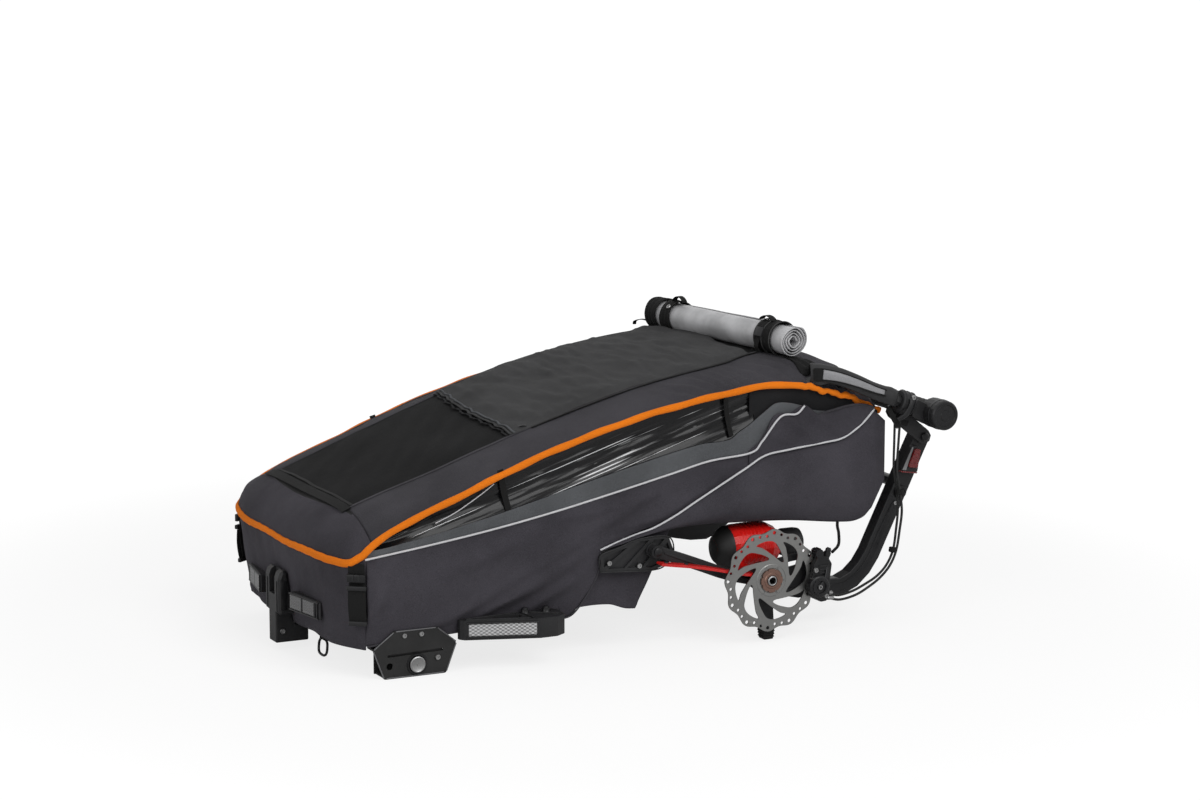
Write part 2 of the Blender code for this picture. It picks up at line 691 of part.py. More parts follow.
def rear_frame():
    line = [(post_pin_x, post_pin_z), (0.4900, 0.260), (0.4600, 0.198), (0.4323, 0.142), (0.4085, 0.096),
            (0.3790, 0.0680), (0.3475, 0.0600), (0.285, 0.072)]
    outline = ribbon(even(smooth_line(line, 80), 15), post_half_width, cap_steps=6)
    for side in (-1, 1):
        inner = side * (post_y - post_thick / 2)
        outer = side * (post_y + post_thick / 2)
        post = slab("rear_post" + label(side), [outline], inner, outer, rear, "plastic", bevel=0.008, segments=2)
        eye = rod("post_eye" + label(side), (post_pin_x, side * 0.20, post_pin_z),
                  (post_pin_x, side * 0.26, post_pin_z), 0.006 + touch_gap, None, None, sides=16, target=cutters)
        combine(post, eye, "DIFFERENCE")
    reach = post_y - post_thick / 2 - touch_gap
    rod("rear_frame_bar", (0.469, -reach, 0.216), (0.469, reach, 0.216), 0.009, rear, "tube", sides=16)
    face = -(post_y + post_thick / 2 + touch_gap)
    rim = rounded([(0.4610, 0.2380), (0.4905, 0.2340), (0.4965, 0.2750), (0.4815, 0.2780)], 0.004)
    slab("tail_light_housing", [rim], face, face - 0.010, rear, "grey", bevel=0.002)
    lens = rounded([(0.4710, 0.2450), (0.4882, 0.2425), (0.4938, 0.2722), (0.4840, 0.2738)], 0.003)
    slab("tail_light_lens", [lens], face - 0.010 - touch_gap, face - 0.015, rear, "red_lens", bevel=0.0015)


def front_fittings():
    body_line = [(mount_front, 0.012), (mount_front, 0.092), (-0.4970, 0.100), (-0.4818, 0.100), (-0.4753, 0.060),
                 (-0.4726, 0.0437), (-0.4700, 0.0390), (-0.4480, 0.0390), (-0.4480, 0.012)]
    head_line = [(mount_front, 0.058), (mount_front, 0.115), (-0.4970, 0.127), (-0.4860, 0.127), (-0.4826, 0.105),
                 (-0.4785, 0.080), (-0.4750, 0.058)]
    mount = slab("nose_mount", [body_line], -0.015, 0.015, chassis, "plastic", bevel=0.002)
    head = slab("mount_head", [head_line], -0.030, 0.030, None, None, bevel=0.004, segments=1, target=cutters)
    combine(mount, head, "UNION")
    groove = block("mount_groove", (-0.560, -0.011, 0.088), (-0.4905, 0.011, 0.150), None, None, target=cutters)
    combine(mount, groove, "DIFFERENCE")
    for side in (-1, 1):
        plan = [(-0.4965, 0.0620), (-0.4890, 0.1060), (-0.4820, 0.1500), (-0.4782, 0.1500), (-0.4811, 0.1060),
                (-0.4821, 0.0620)]
        slab("front_reflector" + label(side), [[(x, side * y) for x, y in plan]], 0.0745, 0.1025, chassis,
             "plastic", bevel=0.0015, along="Z")
        outer = [(-0.3020, 0.2475), (-0.3020, 0.2575), (-0.2960, 0.2650), (-0.1880, 0.3005), (-0.1600, 0.3000),
                 (-0.1420, 0.2880), (-0.1400, 0.2560), (-0.1480, 0.2475)]
        inner = [(-0.2700, 0.2570), (-0.2060, 0.2570), (-0.2060, 0.2790)]
        loops = [[(x, side * y) for x, y in rounded(line, 0.004, 1)] for line in (outer, inner)]
        slab("bumper" + label(side), loops, 0.0500, 0.0800, chassis, "plastic", bevel=0.002,
             segments=1, along="Z")


def drawbar_bracket():
    octagon = [(-0.4375, 0.046), (-0.4205, 0.0), (-0.3205, 0.0), (-0.3035, 0.046), (-0.3345, 0.072),
               (-0.4035, 0.072)]
    outline = rounded(octagon, 0.004, 2)
    slot = ribbon([(-0.4130, 0.0350), (-0.3260, 0.0370)], 0.0020, cap_steps=4)
    hole = ring_loop(-0.3675, 0.0185, button_radius + 0.0007, sides=20)
    hook = ring_loop(-0.4110, 0.0190, 0.0055, sides=12)
    plate = slab("drawbar_bracket", [outline, slot, hole, hook], -bracket_y, bracket_wall - bracket_y, chassis,
                 "plastic")
    # Channel behind the plate, open to the front and rear for the drawbar.
    reach = bracket_y - bracket_depth
    web = block("bracket_web", (-0.4300, bracket_wall / 2 - bracket_y, 0.0400), (-0.3110, -reach, 0.0430),
                None, None, target=cutters)
    wall = block("bracket_inner", (-0.4200, -reach - 0.003, 0.0), (-0.3210, -reach, 0.0415), None, None,
                 target=cutters)
    base = block("bracket_base", (-0.4180, bracket_wall / 2 - bracket_y, 0.0), (-0.3230, -reach - 0.0015, 0.003),
                 None, None, target=cutters)
    for piece in (web, wall, base):
        combine(plate, piece, "UNION")
    profile = [(0.0, 0.0035), (button_radius - 0.0015, 0.0035), (button_radius, 0.0020),
               (button_radius, -0.0045), (0.0, -0.0045)]
    turned("bracket_button", profile, (-0.3675, -bracket_y, 0.0185), (0, -1, 0), button_axis, "steel", steps=24)


def suspension():
    for side in (-1, 1):
        name = label(side)
        swing = body("swing" + name, arm_pivot_x, side * arm_in, arm_pivot_z)
        wheel = body("wheel" + name, axle_x, side * rotor_y, axle_z)

        # Ribbed plate that the arm hangs from.
        edge = [(-0.068, 0.129), (0.018, 0.124), (0.044, 0.132), (0.056, 0.150), (0.046, 0.176),
                (-0.004, 0.177), (-0.040, 0.166), (-0.070, 0.156)]
        outline = rounded(edge, 0.004, 1)
        core = plate_in + 0.004
        holes = [ring_loop(-0.055, 0.143, 0.003, 6), ring_loop(-0.004, 0.134, 0.003, 6)]
        plate = slab("suspension_plate" + name, [outline] + holes, side * plate_in, side * plate_out, chassis,
                     "plastic")
        cells = [[(-0.0635, 0.1370), (-0.0240, 0.1640), (-0.0385, 0.1610), (-0.0635, 0.1515)],
                 [(-0.0565, 0.1343), (-0.0295, 0.1328), (0.0130, 0.1720), (-0.0025, 0.1720)],
                 [(-0.0240, 0.1325), (0.0005, 0.1312), (0.0395, 0.1718), (0.0215, 0.1720)],
                 [(0.0070, 0.1310), (0.0165, 0.1290), (0.0405, 0.1370), (0.0500, 0.1500), (0.0445, 0.1662)]]
        pockets = slab("rib_pockets" + name, cells, side * core,
                       side * (plate_out + 0.002), None, None, target=cutters)
        combine(plate, pockets, "DIFFERENCE")
        pin = rod("arm_pin" + name, (arm_pivot_x, side * core, arm_pivot_z),
                  (arm_pivot_x, side * (arm_out + 0.003), arm_pivot_z), 0.006, None, None, sides=16, target=cutters)
        boss = rod("arm_boss" + name, (arm_pivot_x, side * (core - 0.001), arm_pivot_z),
                   (arm_pivot_x, side * (arm_in - touch_gap), arm_pivot_z), 0.011, None, None, sides=20,
                   target=cutters)
        combine(plate, boss, "UNION")
        combine(plate, pin, "UNION")

        # Swing arm with hub boss, caliper tab and the strut down to the foot.
        line = smooth_line([(arm_pivot_x, arm_pivot_z), (0.080, 0.1335), (0.1425, 0.1085), (axle_x, 0.0930)], 8)
        arm = slab("swing_arm" + name, [ribbon(line, arm_half, 6)], side * arm_in, side * arm_out, swing,
                   "plastic", bevel=0.002, segments=1)
        eye = rod("arm_eye" + name, (arm_pivot_x, side * 0.25, arm_pivot_z), (arm_pivot_x, side * 0.30, arm_pivot_z),
                  0.006 + touch_gap, None, None, sides=16, target=cutters)
        hub = rod("hub" + name, (axle_x, side * (arm_in + 0.001), axle_z), (axle_x, side * hub_plate, axle_z),
                  0.023, None, None, sides=16, target=cutters)
        strut = slab("strut" + name, [[(0.1930, 0.090), (0.2010, foot_height + touch_gap),
                                       (0.2200, foot_height + touch_gap), (0.2160, 0.090)]],
                     side * (arm_in + 0.002), side * (arm_out + 0.001), None, None, target=cutters)
        tab = slab("tab" + name, [ribbon([(axle_x, axle_z), (0.2400, 0.0950), (0.2840, 0.0860)], 0.013, 6)],
                   side * (arm_out - 0.003), side * (hub_plate - 0.001), None, None, target=cutters)
        for piece in (hub, strut, tab):
            combine(arm, piece, "UNION")
        combine(arm, eye, "DIFFERENCE")
        block("foot" + name, (0.1965, side * 0.2570, 0.0), (0.2245, side * 0.2850, foot_height), swing,
              "rubber", bevel=0.003)

        # Red spring leaf outside the arm, running in behind the rotor.
        leaf = smooth_line([(0.018, 0.1405), (0.085, 0.1290), (0.152, 0.1130), (0.178, 0.1085)], 10)
        slab("leaf_spring" + name, [ribbon(leaf, leaf_thick / 2, 4)], side * (arm_out + touch_gap),
             side * (arm_out + touch_gap + leaf_width), swing, "red")

        # Elastomer barrel inside the arm.
        barrel = [(0.0, 0.0560), (0.0140, 0.0560), (0.0290, 0.0430), (0.0362, 0.0290), (0.0362, -0.0290),
                  (0.0300, -0.0450), (0.0140, -0.0590), (0.0, -0.0590)]
        damper = turned("damper" + name, barrel, (0.2030, side * 0.220, 0.1375), (1, 0, 0), swing, "red", steps=18)
        stub = rod("stub" + name, (0.178, side * 0.235, 0.112), (0.178, side * (arm_in - touch_gap), 0.112),
                   0.0075, None, None, sides=14, target=cutters)
        combine(damper, stub, "UNION")
        brake(side, name, swing, wheel)


def brake(side, name, swing, wheel):
    # Rotor: wavy rim, rim holes in threes, swept windows and six bolt holes.
    rim = []
    for i in range(60):
        angle = math.tau * i / 60
        radius = rotor_radius + rotor_wave * math.cos(rotor_waves * (angle - rotor_angle))
        rim.append((axle_x + radius * math.cos(angle), axle_z + radius * math.sin(angle)))
    sweep = [(61.8, 25), (55, 17.5), (47, 9), (40, -2), (34.8, -16), (32.5, -33), (35, -38.5),
             (41, -29.5), (49, -18), (58.5, -7.5), (62.3, 3), (62.8, 15)]
    loops = [rim]
    for k in range(window_count):
        turn = math.tau * k / window_count
        loops.append([(axle_x + r / 1000 * math.cos(math.radians(a) + turn),
                       axle_z + r / 1000 * math.sin(math.radians(a) + turn)) for r, a in sweep])
    sizes = ((0.0745, 0.0029), (0.0722, 0.0023), (0.0702, 0.0024))
    for k in range(3 * rotor_waves):
        reach, radius = sizes[k % 3]
        angle = rotor_angle - math.tau * k / (3 * rotor_waves)
        loops.append(ring_loop(axle_x + reach * math.cos(angle), axle_z + reach * math.sin(angle), radius, 5))
    for k in range(6):
        angle = math.radians(27 + 60 * k)
        loops.append(ring_loop(axle_x + 0.0222 * math.cos(angle), axle_z + 0.0222 * math.sin(angle), 0.0024, 6))
    rotor = slab("rotor" + name, loops, side * (rotor_y - rotor_thick / 2), side * (rotor_y + rotor_thick / 2),
                 wheel, "steel")
    top, low = 0.0065, hub_plate + touch_gap - rotor_y
    profile = [(axle_bore, top), (boss_radius - 0.0007, top), (boss_radius, top - 0.0007), (boss_radius, low),
               (axle_bore, low)]
    sleeve = turned("rotor_sleeve" + name, profile, (axle_x, side * rotor_y, axle_z), (0, side, 0), None, None,
                    steps=24, target=cutters, closed=True)
    bore = rod("rotor_bore" + name, (axle_x, side * (rotor_y - 0.005), axle_z),
               (axle_x, side * (rotor_y + 0.005), axle_z), axle_bore + 0.001, None, None, sides=24, target=cutters)
    combine(rotor, bore, "DIFFERENCE")
    combine(rotor, sleeve, "UNION")
    ring = [(boss_radius + touch_gap, 0.0036), (lock_ring_radius - 0.001, 0.0036), (lock_ring_radius, 0.0026),
            (lock_ring_radius, 0.0), (boss_radius + touch_gap, 0.0)]
    face = rotor_y + rotor_thick / 2 + touch_gap
    lock = turned("lock_ring" + name, ring, (axle_x, side * face, axle_z), (0, side, 0), wheel, "ring", steps=24,
                  closed=True)
    for k in range(8):
        angle = math.tau * (k + 0.5) / 8
        x = axle_x + lock_ring_radius * math.cos(angle)
        z = axle_z + lock_ring_radius * math.sin(angle)
        notch = rod(f"notch_{k}" + name, (x, side * (face - 0.002), z), (x, side * (face + 0.006), z), 0.0024,
                    None, None, sides=6, target=cutters)
        combine(lock, notch, "DIFFERENCE")

    # Caliper astride the rotor's rear edge.
    outline = rounded([(0.2620, 0.0860), (0.2680, 0.0690), (0.2840, 0.0590), (0.2960, 0.0600), (0.2995, 0.0720),
                       (0.3000, 0.0950), (0.3030, 0.1180), (0.2960, 0.1290), (0.2800, 0.1330), (0.2720, 0.1180),
                       (0.2700, 0.1020)], 0.004, 1)
    caliper = slab("caliper" + name, [outline], side * (hub_plate - 0.001 + touch_gap), side * 0.3130, swing, "plastic",
                   bevel=0.002, segments=1)
    drum = rod("drum" + name, (0.2785, side * 0.3080, 0.0845), (0.2785, side * 0.3185, 0.0845), 0.0175, None, None,
               sides=16, target=cutters)
    knob = rod("knob" + name, (0.2805, side * 0.2970, 0.1360), (0.2805, side * 0.3150, 0.1360), 0.0070, None, None,
               sides=10, target=cutters)
    stop = rod("cable_stop" + name, (0.2930, side * 0.3050, 0.1180), (0.2985, side * 0.3050, 0.1330), 0.0055,
               None, None, sides=12, target=cutters)
    for piece in (drum, knob, stop):
        combine(caliper, piece, "UNION")
    gap = rod("rotor_slot" + name, (axle_x, side * (rotor_y - 0.0030), axle_z),
              (axle_x, side * (rotor_y + 0.0030), axle_z), rotor_radius + rotor_wave + 0.0015, None, None,
              sides=48, target=cutters)
    combine(caliper, gap, "DIFFERENCE")


def cables():
    outer = [(0.4524, 0.2617, 0.3314), (0.4475, 0.2652, 0.2900), (0.4435, 0.2684, 0.2453), (0.4478, 0.2702, 0.2132),
             (0.4524, 0.2702, 0.1807), (0.4489, 0.2702, 0.1489), (0.4429, 0.2710, 0.1175), (0.4307, 0.2730, 0.0949),
             (0.4104, 0.2770, 0.0776), (0.3839, 0.2840, 0.0657), (0.3580, 0.2900, 0.0575), (0.3277, 0.2960, 0.0548),
             (0.3030, 0.3030, 0.0613)]
    tube("brake_cable_outer", [(x, -y, z) for x, y, z in outer], 0.0020, rear, "rubber", count=28, resolution=1)
    inner = [(0.4445, 0.2583, 0.3342), (0.4428, 0.2600, 0.2900), (0.4414, 0.2622, 0.2453), (0.4460, 0.2640, 0.2132),
             (0.4485, 0.2645, 0.1807), (0.4455, 0.2648, 0.1489), (0.4400, 0.2660, 0.1175), (0.4275, 0.2680, 0.0952),
             (0.4075, 0.2720, 0.0795), (0.3800, 0.2780, 0.0690), (0.3550, 0.2840, 0.0625), (0.3270, 0.2900, 0.0605),
             (0.3045, 0.2970, 0.0680)]
    tube("brake_cable_inner", [(x, -y, z) for x, y, z in inner], 0.0020, rear, "rubber", count=28, resolution=1)
    # The link hangs from the panel's hem; its lower end lies beside the cable stop, which rises past it.
    link = [(0.3520, 0.2488, 0.2048), (0.3515, 0.2478, 0.1850), (0.3470, 0.2510, 0.1640), (0.3400, 0.2680, 0.1535),
            (0.3262, 0.2915, 0.1413), (0.3080, 0.3045, 0.1340)]
    tube("caliper_link_cable", [(x, -y, z) for x, y, z in link], 0.0024, chassis, "rubber", count=12, resolution=2)


rails()
floor_and_seat()
nose()
canopy()
side_panels()
rear_bag()
upper_frame()
cover_roll()
push_bar()
rear_frame()
front_fittings()
drawbar_bracket()
suspension()
cables()
for cutter in cutters.objects:
    cutter.parent = trailer
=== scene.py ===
from math import atan2, copysign, cos, exp, hypot, pi, radians, sin, tau

import bmesh
import bpy
from mathutils import Matrix, Vector, noise


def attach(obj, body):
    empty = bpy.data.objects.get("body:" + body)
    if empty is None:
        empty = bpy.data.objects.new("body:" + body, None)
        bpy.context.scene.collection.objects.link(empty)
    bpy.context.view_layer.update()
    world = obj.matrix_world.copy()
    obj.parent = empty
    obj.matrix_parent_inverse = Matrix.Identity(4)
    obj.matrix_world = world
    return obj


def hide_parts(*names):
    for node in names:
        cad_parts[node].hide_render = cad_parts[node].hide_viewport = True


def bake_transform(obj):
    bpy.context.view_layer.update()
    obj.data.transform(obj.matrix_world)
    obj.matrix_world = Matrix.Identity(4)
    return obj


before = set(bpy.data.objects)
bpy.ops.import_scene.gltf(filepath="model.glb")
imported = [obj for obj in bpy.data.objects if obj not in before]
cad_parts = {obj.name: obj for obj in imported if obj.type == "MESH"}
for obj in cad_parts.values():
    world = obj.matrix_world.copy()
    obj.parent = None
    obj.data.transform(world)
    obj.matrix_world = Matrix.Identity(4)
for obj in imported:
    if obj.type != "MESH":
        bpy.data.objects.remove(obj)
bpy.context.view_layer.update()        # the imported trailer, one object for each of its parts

sides = (-1, 1)          # -1 is the trailer's left, towards the camera
offset = 0.01585         # the drawing's x, less this, is the part's x
drawingShift = Matrix.Translation((-offset, 0, 0))
axle = (0.2025, 0.099)   # (x, z) in the drawing, as below
button = (-0.3675, 0.0185)
pushBar = (0.5095, 0.332)


def sideName(side):
    return "left" if side < 0 else "right"


class Value:
    # A shader socket; an expression on it adds the Math nodes it needs.
    def __init__(self, finish, socket):
        self.finish = finish
        self.socket = socket

    def join(self, operation, *others):
        return self.finish.node("ShaderNodeMath", {"operation": operation}, dict(enumerate((self, *others))))

    def __add__(self, other):
        return self.join("ADD", other)

    __radd__ = __add__

    def __mul__(self, other):
        return self.join("MULTIPLY", other)

    __rmul__ = __mul__

    def __sub__(self, other):
        return self.join("SUBTRACT", other)

    def between(self, low, high):
        # 0 below low, 1 above high, smooth in between
        return self.finish.node("ShaderNodeMapRange", {"interpolation_type": "SMOOTHSTEP"},
                                {0: self, 1: low, 2: high, 3: 0.0, 4: 1.0})


class Finish:
    # One material, built on its Principled shader.
    def __init__(self, name, colour, roughness, fixed=None):
        self.material = bpy.data.materials.new(name)
        self.material.use_nodes = True
        self.tree = self.material.node_tree
        self.shader = self.tree.nodes["Principled BSDF"]
        self.feed(self.shader.inputs["Base Color"], (*colour, 1.0))
        self.feed(self.shader.inputs["Roughness"], roughness)
        for key, amount in (fixed or {}).items():
            self.feed(self.shader.inputs[key], amount)
        self.lastBump = None

    def feed(self, socket, item):
        if isinstance(item, Value):
            self.tree.links.new(item.socket, socket)
        else:
            socket.default_value = item

    def node(self, kind, settings=None, sockets=None, out=0):
        made = self.tree.nodes.new(kind)
        for key, setting in (settings or {}).items():
            setattr(made, key, setting)
        for key, item in (sockets or {}).items():
            self.feed(made.inputs[key], item)
        return Value(self, made.outputs[out])

    def coordinates(self, stretch=(1, 1, 1), turn=(0, 0, 0)):
        where = self.node("ShaderNodeTexCoord", out=3)     # Object coordinates
        return self.node("ShaderNodeMapping", {}, {"Vector": where, "Rotation": turn, "Scale": stretch})

    def axes(self):
        where = self.coordinates()
        split = self.tree.nodes.new("ShaderNodeSeparateXYZ")
        self.feed(split.inputs[0], where)
        return [Value(self, output) for output in split.outputs]

    def grain(self, scale, detail=2.0, stretch=(1, 1, 1), turn=(0, 0, 0)):
        return self.node("ShaderNodeTexNoise", {}, {"Vector": self.coordinates(stretch, turn),
                                                    "Scale": scale, "Detail": detail})

    def cells(self, scale):
        return self.node("ShaderNodeTexVoronoi", {}, {"Vector": self.coordinates(), "Scale": scale})

    def tint(self, factor, first, second):
        wrap = [item if isinstance(item, Value) else (*item, 1.0) for item in (first, second)]
        return self.node("ShaderNodeMix", {"data_type": "RGBA"}, {0: factor, 6: wrap[0], 7: wrap[1]}, out=2)

    def paint(self, shade):
        self.feed(self.shader.inputs["Base Color"], shade)
        return self

    def rough(self, amount):
        self.feed(self.shader.inputs["Roughness"], amount)
        return self

    def relief(self, height, distance, strength=1.0):
        sockets = {"Height": height, "Distance": distance, "Strength": strength}
        if self.lastBump:
            sockets["Normal"] = self.lastBump
        self.lastBump = self.node("ShaderNodeBump", {}, sockets)
        self.feed(self.shader.inputs["Normal"], self.lastBump)
        return self


def shades(colour, spread):
    return ([channel * (1 - spread) for channel in colour],
            [min(1.0, channel * (1 + spread)) for channel in colour])


# Woven cloth: threads, flecked yarn, soft patches where it has been handled.
clothValues = {"threads": 0.0012, "sheen": 0.02}


def cloth(name, colour, fleck=0.22, patch=0.16, threads=1.0, crease=0.5, rough=0.86):
    made = Finish(name, colour, rough, {"Sheen Weight": clothValues["sheen"], "Sheen Roughness": 0.55,
                                        "Specular IOR Level": 0.07})
    x, y, z = made.axes()
    pitch = tau / (clothValues["threads"] * threads)
    warp = (x * pitch + (y - z) * (pitch * 0.5)).join("SINE")
    weft = ((y + z) * pitch).join("SINE")
    yarn = made.grain(900.0, 3.0)
    clouds = made.grain(11.0, 4.0)
    mix = yarn * 0.55 + clouds * 0.45
    low, high = shades(colour, fleck + patch)
    made.paint(made.tint(mix.between(0.25, 0.75), low, high))
    made.rough((yarn * 0.12) + (rough - 0.06))
    made.relief(made.grain(38.0, 5.0, (1.0, 1.0, 1.6)), 0.004, crease * 0.35)
    made.relief(warp * weft + yarn * 0.7, 0.00035, 0.3)
    return made.material


def netting(name, colour):
    # Fine insect mesh with a slight gloss on its threads.
    made = Finish(name, colour, 0.75, {"Specular IOR Level": 0.04})
    x, y, z = made.axes()
    pitch = tau / 0.0016
    holes = ((x * pitch).join("SINE") * (y * pitch).join("SINE")).between(-0.2, 0.7)
    clouds = made.grain(7.0, 3.0)
    low, high = shades(colour, 0.45)
    made.paint(made.tint(holes * 0.5 + clouds * 0.5, low, high))
    made.relief(made.grain(22.0, 3.0, (1.0, 2.2, 1.0), (0, 0, 0.6)), 0.004, 0.18)
    made.relief(holes, 0.0004, 0.4)
    return made.material


def moulded(name, colour, rough=0.48, grit=1400.0, wear=0.0):
    # Fine-grained moulded plastic, a little paler where hands and straps rub it.
    made = Finish(name, colour, rough, {"Specular IOR Level": 0.26})
    grit = made.grain(grit, 2.0)
    clouds = made.grain(24.0, 4.0)
    low, high = shades(colour, 0.22)
    made.paint(made.tint(clouds.between(0.3, 0.72), low, high))
    made.rough(clouds * 0.14 + grit * 0.06 + (rough - 0.1))
    made.relief(grit, 0.00012, 0.35 + wear)
    return made.material


def paintedTube(name, colour):
    made = Finish(name, colour, 0.34, {"Specular IOR Level": 0.4})
    dust = made.grain(30.0, 5.0)
    low, high = shades(colour, 0.3)
    made.paint(made.tint(dust, low, high))
    made.rough(dust * 0.2 + 0.26)
    made.relief(made.grain(600.0, 2.0), 0.00008, 0.3)
    return made.material


def webbing(name, colour):
    # Ribbed strap weave, slanted to all three axes so that it shows on a strap that lies any way.
    made = Finish(name, colour, 0.8, {"Specular IOR Level": 0.12})
    x, y, z = made.axes()
    rib = ((x + y * 0.7 + z * 1.3) * (tau / 0.0022)).join("SINE")
    cross = ((x - y * 0.7 - z * 1.3) * (tau / 0.0016)).join("SINE")
    yarn = made.grain(1100.0, 2.0)
    low, high = shades(colour, 0.35)
    made.paint(made.tint(rib * 0.3 + yarn * 0.7, low, high))
    made.relief(rib + cross * 0.6 + yarn * 0.5, 0.0003, 0.45)
    return made.material


def reflectiveTape(name, colour, cell=0.0011):
    # Retro-reflective tape: tiny honeycomb beads under a soft shine.
    made = Finish(name, colour, 0.45, {"Specular IOR Level": 0.25})
    beads = made.cells(1.0 / cell)
    clouds = made.grain(60.0, 3.0)
    low, high = shades(colour, 0.18)
    made.paint(made.tint(beads.between(0.1, 0.6) * 0.6 + clouds * 0.4, high, low))
    made.rough(clouds * 0.2 + 0.25)
    made.relief(beads, 0.00015, 0.25)
    return made.material


# (first x, last x, height across the folds, width) of the painted highlights along the window film's creases
filmValues = {"slope": 0.31, "paintedCreaseHighlights": [(-0.242, -0.012, 0.339, 0.0015), (-0.128, 0.04, 0.315, 0.0026),
                                        (-0.128, -0.02, 0.3085, 0.002), (-0.18, -0.025, 0.3036, 0.0011),
                                        (-0.08, 0.1, 0.3345, 0.0012), (-0.406, -0.262, 0.3302, 0.001),
                                        (-0.066, 0.11, 0.2975, 0.001), (0.06, 0.15, 0.32, 0.0022)]}


def clearFilm(name):
    # Clear film over a dark cabin, painted near-black as the shaded cabin seen through it; long folds along
    # it, with pale streaks and a few listed creases painted as highlights where the folds catch the light.
    made = Finish(name, (0.02, 0.02, 0.021), 0.12, {"Specular IOR Level": 0.22})
    x, y, z = made.axes()
    across = z - x * filmValues["slope"]
    along = made.node("ShaderNodeCombineXYZ", {}, {"X": x * 3.0, "Y": y * 3.0, "Z": across * 110.0})
    broad = made.node("ShaderNodeTexNoise", {}, {"Vector": along, "Scale": 1.0, "Detail": 3.0})
    thin = made.node("ShaderNodeTexNoise", {}, {"Vector": along, "Scale": 3.2, "Detail": 2.0})
    # near-black base: painted shade of the cabin seen through the film, darker in broad bands
    shade = made.tint(broad.between(0.5, 0.78), (0.005, 0.005, 0.0055), (0.02, 0.02, 0.021))
    # thin pale streaks: painted reflections along the folds
    shade = made.tint(thin.between(0.66, 0.71) * 0.4, shade, (0.085, 0.085, 0.088))
    # painted highlights along the listed creases, where folds catch the light
    paintedHighlight = None
    for first, last, level, width in filmValues["paintedCreaseHighlights"]:
        wander = (broad - 0.5) * 0.004
        line = (across - level + wander).join("ABSOLUTE").between(width * 0.62, width * 0.26)
        line = line * x.between(first, first + 0.035) * x.between(last, last - 0.035)
        paintedHighlight = line if paintedHighlight is None else paintedHighlight.join("MAXIMUM", line)
    made.paint(made.tint(paintedHighlight * thin.between(0.41, 0.53), shade, (0.66, 0.67, 0.68)))
    made.rough(broad * 0.25 + 0.1)
    made.relief(broad + thin * 0.4, 0.0018, 0.4)
    return made.material


def brushedSteel(name, colour, centre):
    # Turning marks around an axle at the drawing's (x, z) centre.
    made = Finish(name, colour, 0.33, {"Metallic": 1.0})
    x, y, z = made.axes()
    dx = x - (centre[0] - offset)
    dz = z - centre[1]
    radius = (dx * dx + dz * dz).join("SQRT")
    rings = made.node("ShaderNodeTexNoise", {"noise_dimensions": "1D"}, {"W": radius * 900.0, "Detail": 4.0})
    clouds = made.grain(35.0, 3.0)
    low, high = shades(colour, 0.14)
    made.paint(made.tint(rings * 0.6 + clouds * 0.4, low, high))
    made.rough(rings * 0.18 + clouds * 0.12 + 0.2)
    made.relief(rings, 0.00006, 0.5)
    return made.material


def lacquer(name, colour, rough=0.3):
    made = Finish(name, colour, rough, {"Coat Weight": 0.15, "Coat Roughness": 0.15,
                                        "Specular IOR Level": 0.35})
    clouds = made.grain(45.0, 4.0)
    low, high = shades(colour, 0.2)
    made.paint(made.tint(clouds, low, high))
    made.rough(clouds * 0.2 + (rough - 0.1))
    made.relief(made.grain(500.0, 2.0), 0.0001, 0.3)
    return made.material


def lensPlastic(name, colour, pitch=0.003, rough=0.12):
    # Prism lens seen through clear plastic.
    made = Finish(name, colour, rough, {"Specular IOR Level": 0.45, "Coat Weight": 0.15,
                                        "Coat Roughness": 0.08})
    x, y, z = made.axes()
    prism = (((x + y) * (tau / pitch)).join("SINE") * (z * (tau / pitch)).join("SINE")).between(-0.7, 0.9)
    low, high = shades(colour, 0.62)
    made.paint(made.tint(prism * 0.85 + made.grain(80.0, 2.0) * 0.15, low, high))
    made.relief(prism, 0.0004, 0.6)
    return made.material


